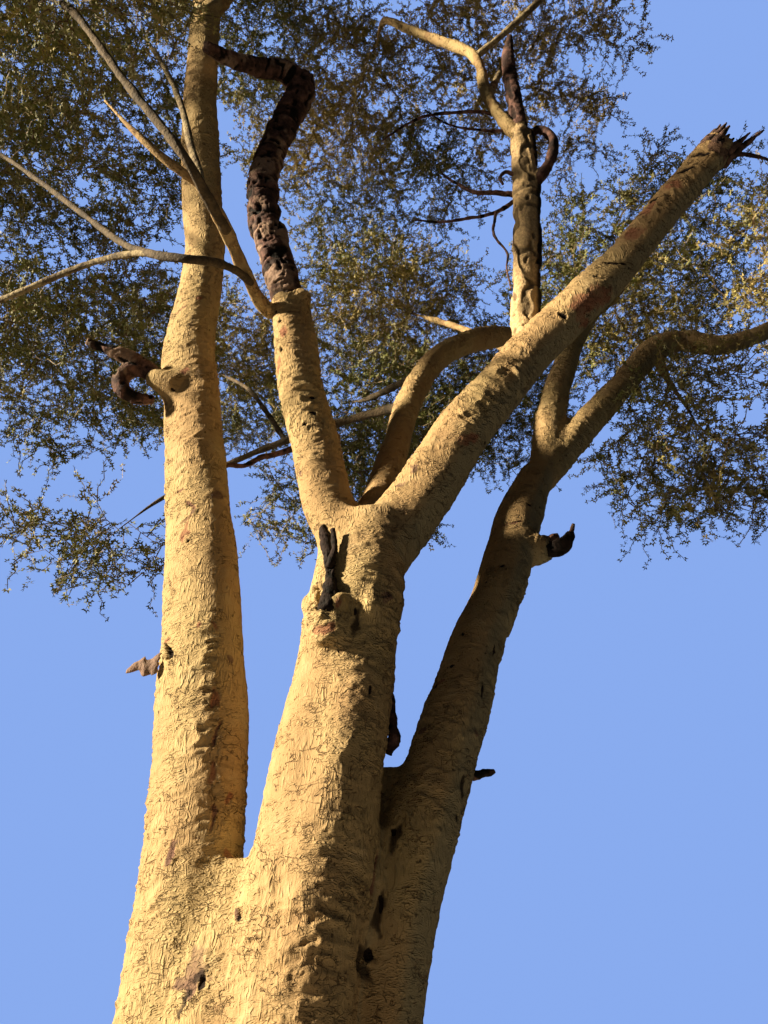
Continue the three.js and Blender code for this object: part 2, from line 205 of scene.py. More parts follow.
CROWN_LIMBS = {
    "bough_top_left": [(-1.085, -1.29, 9.255, 0.105), (-1.15, -1.33, 9.85, 0.098),
        (-1.31, -1.25, 10.6, 0.084), (-1.3, -1.1, 11.5, 0.062), (-1.15, -0.95, 12.2, 0.042)],
    "bough_top_right": [(-1.075, -1.29, 9.265, 0.094), (-0.86, -1.44, 9.85, 0.086),
        (-0.45, -1.8, 10.35, 0.068), (0, -2.15, 10.7, 0.05), (0.3, -2.35, 11, 0.034)],
    "limb_front": [(-0.18, -0.48, 6.2, 0.052), (-0.32, -0.52, 6.18, 0.05), (-0.436, -0.85, 6.155, 0.046),
        (-0.503, -1.2, 6.105, 0.042), (-0.545, -1.4, 6.05, 0.038), (-0.617, -1.5, 6.115, 0.033),
        (-0.746, -1.6, 6.135, 0.027), (-0.935, -1.7, 6.255, 0.022), (-1.3, -1.7, 6.8, 0.018)],
    "limb_front_up": [(-0.495, -1.18, 6.1, 0.032), (-0.555, -1.48, 6, 0.03), (-0.64, -1.7, 6.02, 0.029),
        (-1.09, -1.85, 6.68, 0.028), (-1.6, -1.98, 7.5, 0.026), (-1.9, -1.9, 7.95, 0.022)],
    "limb_front_high": [(-0.61, -1.49, 6.11, 0.024), (-0.64, -1.5, 6.25, 0.024),
        (-0.733, -1.5, 6.55, 0.023), (-0.922, -1.5, 7.23, 0.021), (-1.19, -1.5, 7.93, 0.018),
        (-1.52, -1.5, 8.6, 0.014)],
    "bough_left": [(-0.4, -0.75, 6.16, 0.03), (-0.455, -0.98, 5.98, 0.028), (-0.53, -1.2, 5.75, 0.026),
        (-0.631, -1.32, 5.6, 0.025), (-0.795, -1.3, 5.66, 0.024), (-0.919, -1.25, 5.77, 0.023),
        (-1.13, -1.15, 6, 0.022), (-1.68, -0.95, 6.74, 0.021), (-2.21, -0.8, 7.43, 0.02),
        (-2.81, -0.65, 8.15, 0.018), (-3.3, -0.45, 8.7, 0.015)],
    "bough_left_low": [(-0.915, -1.252, 5.765, 0.021), (-1.082, -1.18, 5.868, 0.021),
        (-1.366, -1.05, 5.975, 0.02), (-1.628, -0.95, 5.977, 0.019), (-2.064, -0.8, 5.911, 0.018),
        (-2.6, -0.5, 6.25, 0.016), (-2.85, 0.05, 6.85, 0.014), (-2.95, 0.5, 7.35, 0.012)],
    "limb_low_left": [(0.735, 0.6, 6.35, 0.042), (0.3, 0.95, 6.56, 0.036), (-0.39, 1.2, 6.5, 0.03),
        (-0.92, 1.4, 6.4, 0.024), (-1.54, 1.5, 6.04, 0.018), (-1.85, 1.5, 5.7, 0.012)],
    "limb_back_left": [(-0.39, 1.21, 6.5, 0.026), (-0.7, 1.6, 7.3, 0.026), (-1.1, 2.2, 8.3, 0.024),
        (-1.6, 2.7, 9.1, 0.02)],
    "limb_back_up": [(1, 0.81, 7.13, 0.046), (0.7, 1.4, 7.5, 0.04), (0.35, 2, 7.9, 0.034),
        (0.15, 2.35, 8.2, 0.026)],
    "limb_back_high": [(1.95, 1.69, 8.34, 0.052), (1.5, 2.15, 9.3, 0.044), (0.9, 2.6, 10.2, 0.034)],
    "limb_right_low": [(3.11, 0.86, 7.33, 0.056), (3.2, 0.95, 7.05, 0.048), (3.35, 1.05, 6.75, 0.036)],
    "limb_top": [(1.69, -0.79, 8.2, 0.06), (1.578, -0.8, 8.43, 0.054), (1.464, -0.8, 8.95, 0.052),
        (1.406, -0.8, 9.79, 0.05), (1.105, -0.7, 10.42, 0.048), (0.785, -0.6, 11, 0.044),
        (0.52, -0.5, 11.5, 0.038), (0.42, -0.1, 11.85, 0.028)],
    "limb_top_right": [(1.47, -0.795, 8.9, 0.036), (1.65, -0.64, 9.7, 0.032), (1.9, -0.3, 10.9, 0.028),
        (2.15, 0.05, 11.9, 0.02)],
    "limb_top_front": [(1.405, -0.8, 9.74, 0.034), (1.9, -1.1, 10, 0.03), (2.55, -1.6, 10.35, 0.024),
        (2.9, -1.9, 10.55, 0.018)],
}

# Dead wood, left as it broke or dried
DEAD_WOOD = {
    "dead_bough": [(-0.17, -0.48, 6.2, 0.11), (-0.19, -0.505, 6.32, 0.112), (-0.34, -0.55, 6.875, 0.126),
        (-0.465, -0.6, 7.39, 0.13), (-0.495, -0.64, 7.755, 0.128), (-0.445, -0.69, 8.155, 0.121),
        (-0.355, -0.75, 8.535, 0.122), (-0.25, -0.82, 8.845, 0.123), (-0.24, -0.88, 9.13, 0.109)],
    "dead_arm": [(-0.245, -0.87, 9, 0.097), (-0.38, -0.95, 9.065, 0.098), (-0.545, -1.02, 8.98, 0.083),
        (-0.76, -1.18, 8.72, 0.073), (-0.935, -1.4, 8.43, 0.056)],
    "dead_snag": [(1.48, -0.49, 5.6, 0.104), (1.515, -0.5, 5.81, 0.106), (1.55, -0.5, 6.2, 0.102),
        (1.62, -0.6, 6.865, 0.102), (1.685, -0.7, 7.64, 0.106), (1.705, -0.79, 8.25, 0.098)],
    "dead_spike": [(1.695, -0.78, 8.12, 0.07), (1.684, -0.8, 8.3, 0.072), (1.686, -0.85, 8.775, 0.07),
        (1.69, -0.9, 9.4, 0.064), (1.74, -0.95, 9.87, 0.038)],
    "snag_loop": [(1.73, -0.78, 8.15, 0.038), (1.85, -0.8, 8.3, 0.042), (1.945, -0.8, 8.18, 0.045),
        (1.92, -0.8, 7.88, 0.048), (1.8, -0.76, 7.6, 0.044), (1.715, -0.71, 7.52, 0.038)],
    "stub_left": [(-1.1, -0.19, 5.785, 0.067), (-1.23, -0.235, 5.875, 0.067), (-1.395, -0.31, 5.935, 0.057),
        (-1.53, -0.345, 5.975, 0.043), (-1.63, -0.37, 6.005, 0.026)],
    "stub_left_curl": [(-1.21, -0.22, 5.845, 0.048), (-1.305, -0.255, 5.82, 0.06),
        (-1.37, -0.245, 5.735, 0.062), (-1.33, -0.245, 5.63, 0.055), (-1.225, -0.215, 5.575, 0.048),
        (-1.11, -0.18, 5.6, 0.04)],
    "stub_middle": [(0.22, -0.515, 3.655, 0.048), (0.23, -0.5, 3.77, 0.044), (0.228, -0.478, 3.91, 0.04),
        (0.208, -0.448, 4.07, 0.038), (0.172, -0.395, 4.245, 0.034), (0.148, -0.4, 4.33, 0.024)],
    "stub_right": [(1.595, 0.27, 4.605, 0.057), (1.715, 0.22, 4.595, 0.053), (1.77, 0.195, 4.66, 0.04),
        (1.81, 0.19, 4.755, 0.019)],
}

# The face of the snag that is bleached pale and painted lit; the side turned from it is painted black as
# shade
SNAG_LIT_FACE = (-0.9, -0.44, 0.0)
CHARRED = {"stub_middle", "stub_middle_prong", "stub_right"}
CHAR = 0.86            # how black charred wood is
# How strongly the relief of dry wood, of the snag and of charred wood shows
DEAD_HEIGHT = 0.8
SNAG_HEIGHT = 0.55
CHARRED_HEIGHT = 1.6
SNAG_STRETCH = 2.6     # how far the snag's holes are drawn out along it
SPLINTERS = 15
SPLINTER_RADIUS = 0.045
SPLINTER_LENGTH = (0.10, 0.24)
LONG_SPLINTER = 0.36
# The flap of bark that hangs from the left stem: its two ends in pixels, its distance and size
FLAP_FOOT = (161, 664)
FLAP_TIP = (126, 672)
FLAP_DISTANCE = -0.08
FLAP_WIDTH = 0.13
FLAP_SAG = 0.022
FLAP_CURL = 120        # degrees
FLAP_THICKNESS = 0.005
FLAP_ROWS = 17
FLAP_COLUMNS = 9

# Dead wood too small for the frame: distance y, radius at the foot and the tip, and the pixels (u, v)
# of the photograph that it runs through
DEAD_TWIGS = {
    "stub_right_upper": (0.28, 0.040, 0.022, [(538, 541), (548, 540), (558, 537)]),
    "stub_right_claw": (0.20, 0.022, 0.012, [(567, 540), (571, 532), (573, 524)]),
    "stub_right_low": (-0.06, 0.026, 0.012, [(472, 776), (484, 774), (491, 773), (495, 771)]),
    "plate_middle": (-0.12, 0.040, 0.018, [(386, 752), (392, 742), (393, 720), (391, 700), (386, 678)]),
    "stub_middle_prong": (-0.485, 0.022, 0.014, [(329, 568), (333, 554), (335, 542), (333, 530)]),
    "snag_red": (-0.62, 0.026, 0.009, [(520, 196), (501, 193), (475, 192), (459, 185), (442, 174)]),
    "snag_low": (-0.62, 0.018, 0.007, [(516, 200), (494, 213), (470, 218), (442, 222), (415, 220)]),
    "snag_hanging": (-0.66, 0.012, 0.006, [(496, 212), (494, 235), (507, 253), (507, 268), (511, 289)]),
    "snag_curl": (-0.70, 0.020, 0.010, [(518, 176), (506, 172), (500, 178), (503, 184)]),
    "snag_high": (-0.76, 0.020, 0.008, [(510, 128), (489, 113), (447, 113), (423, 117), (398, 130),
        (383, 140)]),
    "snag_high_low": (-0.76, 0.014, 0.006, [(508, 131), (480, 130), (450, 125), (425, 110)]),
    "end_twig": (-1.12, 0.020, 0.009, [(733, 156), (742, 154), (754, 156), (768, 160), (786, 170)]),
    "behind_left": (0.10, 0.024, 0.012, [(300, 445), (283, 452), (262, 457), (245, 466), (228, 465),
        (214, 470)]),
}

# Dead wood that is joined into one mesh
DEAD_GROUPS = {
    "dead_bough": ["dead_bough", "dead_arm"],
    "dead_snag": ["dead_snag", "dead_spike", "snag_loop"],
    "stub_left": ["stub_left", "stub_left_curl"],
    "stub_middle": ["stub_middle"],
    "stub_right": ["stub_right"],
}
TWIGS_BY_GROUP = {
    "dead_snag": ["snag_red", "snag_low", "snag_hanging", "snag_curl", "snag_high", "snag_high_low"],
    "stub_right": ["stub_right_upper", "stub_right_claw"],
    "stub_middle": ["stub_middle_prong"],
}
LOOSE_TWIGS = {
    "stub_right_low": "trunk",
    "plate_middle": "trunk",
    "end_twig": "bough_middle_right",
    "behind_left": "limb_low_left",
}

# Marks on the live bark: kind, the pixel (u, v) where the photograph shows it, width and length in
# metres, and how many degrees it leans to the right
MARKS = [
    ("hole", 168, 650, 0.075, 0.110, 0),
    ("flush", 166, 641, 0.100, 0.045, 10),
    ("flush", 198, 624, 0.050, 0.060, 0),
    ("flush", 214, 624, 0.030, 0.090, -30),
    ("scar", 233, 659, 0.036, 0.046, -10),
    ("flush", 214, 700, 0.034, 0.130, 0),
    ("seam", 215, 735, 0.020, 0.150, 6),
    ("flush", 212, 775, 0.034, 0.120, -8),
    ("seam", 214, 818, 0.020, 0.140, 0),
    ("flush", 227, 797, 0.030, 0.070, 10),
    ("flush", 172, 853, 0.030, 0.130, 12),
    ("seam", 172, 855, 0.018, 0.100, 14),
    ("flush", 228, 851, 0.060, 0.050, 60),
    ("scar", 189, 966, 0.140, 0.190, 15),
    ("hole", 201, 984, 0.026, 0.080, 25),
    ("stain", 181, 1006, 0.050, 0.180, 8),
    ("lump", 239, 914, 0.065, 0.080, 0),
    ("scar", 239, 915, 0.036, 0.050, 0),
    ("hole", 241, 919, 0.014, 0.028, 20),
    ("hole", 158, 800, 0.016, 0.022, 0),
    ("hole", 266, 925, 0.014, 0.014, 0),
    ("hole", 181, 572, 0.018, 0.018, 0),
    ("hole", 188, 540, 0.020, 0.024, 20),
    ("hole", 173, 390, 0.022, 0.040, -60),
    ("flush", 185, 370, 0.050, 0.090, 0),
    ("flush", 199, 297, 0.060, 0.045, 0),
    ("seam", 179, 310, 0.022, 0.150, 78),
    ("hole", 169, 314, 0.030, 0.034, 0),
    ("hole", 150, 402, 0.050, 0.190, -40),
    ("seam", 178, 490, 0.024, 0.120, 85),
    ("seam", 189, 503, 0.030, 0.150, -40),
    ("seam", 185, 518, 0.024, 0.100, 55),
    ("scar", 219, 494, 0.060, 0.090, -40),
    ("flush", 185, 530, 0.080, 0.200, 0),
    ("lump", 305, 604, 0.080, 0.170, -8),
    ("lump", 338, 602, 0.110, 0.170, 10),
    ("lump", 323, 638, 0.150, 0.090, 0),
    ("lump", 372, 606, 0.120, 0.200, 0),
    ("hole", 319, 603, 0.130, 0.170, -10),
    ("flush", 322, 629, 0.110, 0.060, 0),
    ("flush", 336, 606, 0.060, 0.100, 20),
    ("stain", 357, 622, 0.050, 0.200, 8),
    ("hole", 355, 612, 0.016, 0.080, 8),
    ("scar", 384, 598, 0.050, 0.070, 0),
    ("hole", 371, 690, 0.022, 0.040, 0),
    ("rough", 355, 545, 0.200, 0.420, 20),
    ("rough", 394, 532, 0.140, 0.280, 20),
    ("rough", 350, 700, 0.300, 0.600, 12),
    ("rough", 338, 800, 0.340, 0.800, 12),
    ("rough", 314, 920, 0.340, 0.800, 12),
    ("ridge", 335, 790, 0.300, 1.700, 12),
    ("rough", 205, 690, 0.200, 0.900, 0),
    ("rough", 397, 765, 0.140, 0.320, 20),
    ("rough", 190, 330, 0.160, 0.500, 5),
    ("rough", 235, 950, 0.300, 0.400, 30),
    ("seam", 374, 874, 0.034, 0.200, 5),
    ("stain", 380, 912, 0.060, 0.260, 3),
    ("hole", 381, 904, 0.018, 0.080, 8),
    ("stain", 396, 835, 0.090, 0.150, 25),
    ("hole", 394, 832, 0.030, 0.050, 20),
    ("stain", 368, 965, 0.100, 0.200, 5),
    ("hole", 366, 956, 0.034, 0.060, 0),
    ("hole", 501, 563, 0.034, 0.030, 0),
    ("hole", 485, 580, 0.018, 0.020, 0),
    ("hole", 462, 633, 0.018, 0.024, 0),
    ("hole", 451, 665, 0.026, 0.020, 0),
    ("flush", 436, 686, 0.040, 0.090, 50),
    ("hole", 434, 688, 0.020, 0.040, 50),
    ("scar", 424, 731, 0.040, 0.044, 0),
    ("scar", 475, 734, 0.030, 0.040, 0),
    ("hole", 480, 761, 0.020, 0.060, -20),
    ("hole", 494, 650, 0.014, 0.090, 8),
    ("hole", 482, 692, 0.014, 0.100, 8),
    ("stain", 463, 785, 0.036, 0.200, 8),
    ("hole", 458, 818, 0.030, 0.060, 0),
    ("hole", 531, 505, 0.040, 0.034, 30),
    ("seam", 514, 521, 0.020, 0.200, 75),
    ("hole", 531, 574, 0.030, 0.120, 30),
    ("scar", 413, 468, 0.050, 0.080, 35),
    ("scar", 400, 484, 0.040, 0.070, 50),
    ("hole", 278, 321, 0.034, 0.044, 0),
    ("hole", 279, 349, 0.038, 0.064, 0),
    ("flush", 285, 330, 0.050, 0.150, 0),
    ("hole", 276, 310, 0.060, 0.034, 0),
    ("hole", 276, 375, 0.022, 0.100, 0),
    ("flush", 277, 365, 0.060, 0.180, 0),
    ("lump", 303, 297, 0.150, 0.120, 0),
    ("lump", 313, 386, 0.100, 0.060, 0),
    ("hole", 312, 396, 0.060, 0.026, 10),
    ("lump", 313, 404, 0.080, 0.050, 0),
    ("hole", 312, 412, 0.050, 0.024, 0),
    ("hole", 307, 422, 0.044, 0.026, -20),
    ("scar", 301, 473, 0.034, 0.050, 0),
    ("rough", 322, 440, 0.130, 0.700, -18),
    ("flush", 587, 302, 0.170, 0.360, 35),
    ("hole", 564, 314, 0.050, 0.044, 0),
    ("hole", 597, 276, 0.044, 0.034, 0),
    ("hole", 612, 262, 0.022, 0.200, 100),
    ("flush", 631, 232, 0.080, 0.180, 50),
    ("flush", 650, 207, 0.100, 0.200, 60),
    ("hole", 655, 198, 0.032, 0.220, 100),
    ("hole", 640, 213, 0.020, 0.180, 95),
    ("flush", 672, 184, 0.090, 0.180, 60),
    ("hole", 683, 169, 0.034, 0.180, 110),
    ("hole", 700, 154, 0.044, 0.150, 110),
    ("scar", 720, 145, 0.260, 0.200, 40),
    ("rough", 505, 372, 0.300, 0.900, 42),
    ("rough", 450, 430, 0.260, 0.700, 42),
    ("rough", 660, 195, 0.240, 0.700, 42),
    ("flush", 466, 437, 0.070, 0.180, 45),
    ("stain", 485, 444, 0.040, 0.070, 45),
    ("scar", 193, 970, 0.120, 0.170, 20),
    ("stain", 198, 976, 0.050, 0.110, 25),
    ("scar", 172, 852, 0.034, 0.130, 12),
    ("scar", 190, 510, 0.070, 0.060, 30),
]
EVEN_MARKS = {"lump", "ridge", "rough"}
# How far a mark's sides wander in shares of its width, at how many waves to the metre, and the seed
MARK_WANDER = ((0.5, 9, 700), (0.3, 24, 800))
MARK_FRAY = 0.42       # how much the edge of a mark is frayed
MARK_EDGE = 1.2        # where a mark ends and its rim stands, in shares of its half width
RIM_WIDTH = 0.3
STAIN_DEPTH = 0.6   # a stain's darkness, as a share of a hole's
# How far each kind of mark lifts the bark inside it and at its rim, in shares of its width
MARK_RELIEF = {
    "hole": (-0.45, 0.12),
    "scar": (0.04, 0.06),
    "stain": (-0.08, 0.0),
    "seam": (-0.22, 0.20),
    "flush": (0.03, 0.04),
    "lump": (0.36, 0.0),
    "ridge": (0.09, 0.0),
    "rough": (0.0, 0.0),
}

# Which limbs grow on into each foliage mass
FEEDS = {
    "foliage_top": ["bough_top_left"],
    "foliage_top_front": ["bough_top_right"],
    "foliage_top_right": ["limb_top_right"],
    "foliage_top_back": ["limb_top"],
    "foliage_near_left": ["limb_front_up", "limb_front", "limb_front_high"],
    "foliage_far_left": ["bough_left"],
    "foliage_left_back": ["bough_left_low"],
    "foliage_low_left": ["limb_low_left"],
    "foliage_back_left": ["limb_back_left"],
    "foliage_back_middle": ["limb_back_up"],
    "foliage_back_high": ["limb_back_high"],
    "foliage_back_right": ["bough_back_out"],
    "foliage_right_back": ["bough_right_up"],
    "foliage_right_low": ["limb_right_low"],
    "foliage_far_right": ["bough_right_far"],
    "foliage_right_front": ["limb_top_front"],
}

# The branching rule
SEED = 20
FILL = 40              # growing points for each cubic metre of a foliage mass
BOX_SHARE = 0.5        # rough share of a mass's box that the mass fills
OPEN_SKY = 0.20        # share of a mass that stays open between its sprays
CLUMPS = 1.5
FEED_FROM = 0.55       # twigs grow from this share of a limb's length on
STEP = 0.16
REACH = 1.6
KILL = 0.24
ROUNDS = 90
WANDER = 0.34
TWIG_TIP = 0.0035
PIPE_POWER = 2.3
PIPE_SHARE = 0.9
THICK = 0.009          # twigs thicker than this have more sides
THICK_SIDES = 6
THIN_SIDES = 3
LEAFY = 0.012          # twigs thinner than this bear sprays
SEED_EVERY = 4         # rings of a limb from the foot of one twig to the next
FIRST_TWIG = 0.9       # radius of a limb's first twigs, in shares of its own near the tip
SIDE_TWIG = 1.15       # how much wider a side twig starts than it ends
SPRAYS_PER_POINT = 4
SPRAY_LENGTH = (0.24, 0.55)
SPRAY_WIDTH = (0.0115, 0.0055)
SPRAY_FORWARD = 0.55   # how far a spray leans along its twig
SPRAY_RISE = 0.10
SPRAY_SPREAD = 0.15
SPRAY_SHIFT = 0.08
SPRAY_WANDER = 0.20
BENDS = 4              # straight runs in a spray's zigzag twig
ZIGZAG = 0.42
DROOP = 0.05
TUFTS_PER_SPRAY = 10
BLADE_TURNS = (-68, -24, 22, 64)
BLADE_LENGTH = (0.029, 0.052)
BLADE_WIDTH = 0.50     # share of a blade's length
TUFT_FORWARD = 0.6     # how far a tuft leans along its spray
TUFT_OUT = 0.9
LAST_TUFT_OUT = 0.1
TUFT_TILT = 0.7

# The limbs of the crown
FOOT_SWELL = 0.3       # how much a limb widens towards its foot, and over which length
FOOT_LENGTH = 0.12
FOOT_ROUND = 0.03      # length over which a limb's foot rounds off inside what bears it
FOOT_SHARE = 0.5       # how much of its radius it loses there
LIMB_UNEVEN = 0.18     # how uneven a limb is, in shares of its radius
LIMB_FINE = 0.12
TIP_TAPER = 0.5        # length over which a limb thins to a point that its twigs carry on
TIP_SHARE = 0.35       # how much of its radius is left at its end
LARGE_LIMB = 0.05      # a limb that starts thicker than this has the bark of the stems

# Foliage that is thinner or denser than the rest, and drier or greener
THICKNESS = {
    "foliage_top_right": 0.45,
    "foliage_right_front": 0.6,
    "foliage_back_middle": 1.5,
    "foliage_back_high": 1.4,
    "foliage_back_left": 1.2,
}
DRYNESS = {
    "foliage_top_right": 1.3,
    "foliage_right_front": 0.9,
    "foliage_top_back": 0.4,
    "foliage_back_high": 0.3,
    "foliage_far_left": -0.3,
    "foliage_near_left": -0.2,
}

# Stretches of the materials' textures
EVEN = (1, 1, 1)
BROAD_WAVES = (1.6, 1.6, 0.9)
WARM_WAVES = (1, 1, 1.4)
CRINKLE_WAVES = (22, 22, 52)
STREAK_WAVES = (40, 40, 11)
GRAIN_WAVES = (110, 110, 170)
LEVEL_CREASES = (6, 6, 17)
UPRIGHT_CREASES = (17, 17, 8)
PIT_WAVES = (1, 1, 0.7)
DEAD_GRAIN_WAVES = (70, 70, 40)

# Heights of the materials' bumps
CRUMPLE_BUMP = 0.019
CREASE_BUMP = 0.022
GRAIN_BUMP = 0.003
LIMB_BUMP = 0.018
DEAD_BUMP = 0.008

# Colours
BARK_CREAM = (0.66, 0.51, 0.25)
BARK_GREEN = (0.58, 0.47, 0.22)
BARK_TAN = (0.47, 0.31, 0.15)
BARK_PALE = (0.68, 0.56, 0.31)
# Olive grey painted on the side turned from the sun, as shade
PAINTED_SHADE_OLIVE = (0.36, 0.345, 0.215)
# Brown painted as shade in the low parts of the crinkles, in creases, hollows and cracks
BARK_HOLLOW_SHADE = (0.22, 0.12, 0.06)
SCAR_PURPLE = (0.17, 0.10, 0.075)
FLUSH_RED = (0.30, 0.12, 0.07)
# Black painted as the shade inside holes and pits, and as the real dark of stains
SHADE_AND_STAIN_BLACK = (0.02, 0.013, 0.01)
LIMB_PALE = (0.44, 0.36, 0.20)
LIMB_BROWN = (0.15, 0.11, 0.06)
LIMB_DARK = (0.060, 0.045, 0.026)
DEAD_DARK = (0.055, 0.032, 0.028)
DEAD_RED = (0.22, 0.12, 0.095)
DEAD_PALE = (0.42, 0.30, 0.22)
SNAG_PALE = (0.70, 0.52, 0.27)
DEAD_BLACK = (0.006, 0.005, 0.004)
TWIG_KHAKI = (0.32, 0.25, 0.13)
TWIG_BROWN = (0.13, 0.085, 0.05)
LEAF_TINTS = {
    "deep": (0.118, 0.136, 0.042),
    "green": (0.195, 0.210, 0.062),
    "grey": (0.280, 0.278, 0.125),
    "olive": (0.325, 0.288, 0.092),
    "khaki": (0.450, 0.365, 0.140),
}
TINT_SHARES = (0.2, 0.45, 0.65, 0.87)

# Limbs of the crown that the photograph shows dark or mottled, which get the darker bark as painted shade of
# the crown over them
CROWN_SHADE_LIMBS = {"limb_front_up", "bough_left", "limb_low_left", "limb_back_left", "limb_back_up"}
# Stems and boughs whose side turned from the sun is painted olive grey, as shade
PAINTED_SHADE_LIMBS = {"stem_right", "bough_middle_right", "bough_right_out", "bough_right_up", "bough_right_far"}

# Light and stage
SUN_FROM = (-0.927, -0.214, 0.309)
SUN_COLOUR = (1.0, 0.82, 0.58)
SUN_STRENGTH = 11.8
SUN_SOFTNESS = 4
BACKDROP_COLOUR = (0.25, 0.41, 0.86)
FILL_COLOUR = (0.62, 0.72, 0.90)
FILL_STRENGTH = 0.028
FLOOR_SIZE = 11
FLOOR_COLOUR = (0.34, 0.32, 0.29)
# Roughness and specular level of the plain materials
FLOOR_SHEEN = (0.9, 0.5)
LEAF_SHEEN = (0.6, 0.3)


# Repeatable noise on a lattice
def lattice(x, y, z, seed):
    mixed = x * 374761393 + y * 668265263 + z * 1442695041 + seed * 1274126177
    mixed = mixed & 0xFFFFFFFF
    mixed = ((mixed ^ (mixed >> 13)) * 1274126177) & 0xFFFFFFFF
    mixed = mixed ^ (mixed >> 16)
    return (mixed & 0xFFFFFF) / float(0xFFFFFF)


def noise(places, seed=0):
    """Smooth noise from -1 to 1."""
    whole = np.floor(places)
    part = places - whole
    ease = part * part * part * (part * (part * 6 - 15) + 10)
    x, y, z = whole.astype(np.int64).T
    u, v, w = ease.T
    total = 0
    for dx, wx in ((0, 1 - u), (1, u)):
        for dy, wy in ((0, 1 - v), (1, v)):
            for dz, wz in ((0, 1 - w), (1, w)):
                total = total + wx * wy * wz * lattice(x + dx, y + dy, z + dz, seed)
    return total * 2 - 1


def three_noises(places, apart, seed):
    """Three noises side by side, to shift places by."""
    return np.stack([noise(places + k * apart, seed + k) for k in range(3)], axis=1)


def fractal(places, octaves, seed=0):
    total = 0
    weight = 1.0
    for octave in range(octaves):
        total = total + weight * noise(places * 2 ** octave + octave * 7.3, seed + octave)
        weight *= 0.5
    return total


def cells(places, seed=0):
    """Distance to the nearest and second nearest of scattered points, and the nearest one's number."""
    whole = np.floor(places).astype(np.int64)
    part = places - whole
    first = np.full(len(places), 9.0)
    second = np.full(len(places), 9.0)
    number = np.zeros(len(places))
    for dx in (-1, 0, 1):
        for dy in (-1, 0, 1):
            for dz in (-1, 0, 1):
                x, y, z = (whole + (dx, dy, dz)).T
                at = np.stack([lattice(x, y, z, seed + k) for k in (1, 2, 3)], axis=1)
                away = np.linalg.norm(at + (dx, dy, dz) - part, axis=1)
                nearer = away < first
                second = np.where(nearer, first, np.minimum(second, away))
                number = np.where(nearer, lattice(x, y, z, seed + 4), number)
                first = np.where(nearer, away, first)
    return first, second, number


def soft_step(low, high, value):
    share = np.clip((value - low) / (high - low), 0, 1)
    return share * share * (3 - 2 * share)


# Sight lines of the photograph
def sight_line(u, v):
    """Heading of the sight line through a pixel."""
    side = (u - PHOTO_WIDTH / 2) / FOCAL_PIXELS
    up = (PHOTO_HEIGHT / 2 - v) / FOCAL_PIXELS
    return Vector((side, np.cos(PITCH) - np.sin(PITCH) * up, np.sin(PITCH) + np.cos(PITCH) * up))


def seen_at(u, v, y):
    """The place at distance y that shows at a pixel."""
    heading = sight_line(u, v)
    return EYE + heading * ((y - EYE.y) / heading.y)


# Meshes from arrays
def make_mesh(name, places, corners):
    """A mesh object from its places and the corner numbers of its faces, which all have as many."""
    corners = np.asarray(corners, dtype=np.int32)
    flat = corners.reshape(-1)
    mesh = bpy.data.meshes.new(name)
    mesh.vertices.add(len(places))
    mesh.vertices.foreach_set("co", np.asarray(places, dtype=np.float32).reshape(-1))
    mesh.loops.add(len(flat))
    mesh.loops.foreach_set("vertex_index", flat)
    mesh.polygons.add(len(corners))
    mesh.polygons.foreach_set("loop_start", np.arange(0, len(flat), corners.shape[1], dtype=np.int32))
    mesh.update(calc_edges=True)
    mesh.validate()
    obj = bpy.data.objects.new(name, mesh)
    bpy.context.scene.collection.objects.link(obj)
    return obj


def read(items, what, width, kind=np.float32):
    """What the vertices, edges or corners of a mesh say under one name, in rows of a width."""
    values = np.empty(len(items) * width, dtype=kind)
    items.foreach_get(what, values)
    return values.reshape(-1, width)


def places_of(mesh):
    return read(mesh.vertices, "co", 3).astype(np.float64)


def normals_of(mesh):
    return read(mesh.vertices, "normal", 3).astype(np.float64)


def edges_of(mesh):
    return read(mesh.edges, "vertices", 2, np.int32)


def set_places(mesh, places):
    mesh.vertices.foreach_set("co", places.astype(np.float32).reshape(-1))
    mesh.update()


def evened(values, edges, weight, rounds):
    """Values on the points of a mesh, drawn towards the mean of their neighbours where weight is high."""
    count = len(values)
    near = np.bincount(edges.ravel(), minlength=count).clip(1)[:, None]
    weight = weight[:, None]
    for _ in range(rounds):
        total = np.empty_like(values)
        for k in range(values.shape[1]):
            total[:, k] = np.bincount(edges[:, 0], values[edges[:, 1], k], count)
            total[:, k] += np.bincount(edges[:, 1], values[edges[:, 0], k], count)
        values = values + weight * (total / near - values)
    return values


def evaluated(obj):
    """The object's mesh with its modifiers applied."""
    graph = bpy.context.evaluated_depsgraph_get()
    mesh = bpy.data.meshes.new_from_object(obj.evaluated_get(graph))
    obj.modifiers.clear()
    obj.data = mesh
    return obj


def remeshed(obj, voxel):
    remesh = obj.modifiers.new("remesh", "REMESH")
    remesh.mode = "VOXEL"
    remesh.voxel_size = voxel
    return evaluated(obj)


def finer(obj):
    divide = obj.modifiers.new("finer", "SUBSURF")
    divide.levels = 1
    divide.render_levels = 1
    return evaluated(obj)


# Limbs
def on_line(stations, shares):
    """Places and radii on the smooth line through the stations, at shares of its length."""
    rows = np.array(stations, dtype=float)
    rows = np.vstack([2 * rows[0] - rows[1], rows, 2 * rows[-1] - rows[-2]])
    place = np.asarray(shares) * (len(stations) - 1)
    index = np.clip(np.floor(place).astype(int), 0, len(stations) - 2)
    w = (place - index)[:, None]
    p0, p1, p2, p3 = (rows[index + k] for k in range(4))
    d0, d1, d2 = (
        np.sqrt(np.linalg.norm((b - a)[:, :3], axis=1))[:, None] for a, b in ((p0, p1), (p1, p2), (p2, p3))
    )
    t1 = d1 * ((p1 - p0) / d0 - (p2 - p0) / (d0 + d1) + (p2 - p1) / d1)
    t2 = d1 * ((p2 - p1) / d1 - (p3 - p1) / (d1 + d2) + (p3 - p2) / d2)
    return p1 + t1 * w + (3 * p2 - 3 * p1 - 2 * t1 - t2) * w**2 + (2 * p1 - 2 * p2 + t1 + t2) * w**3


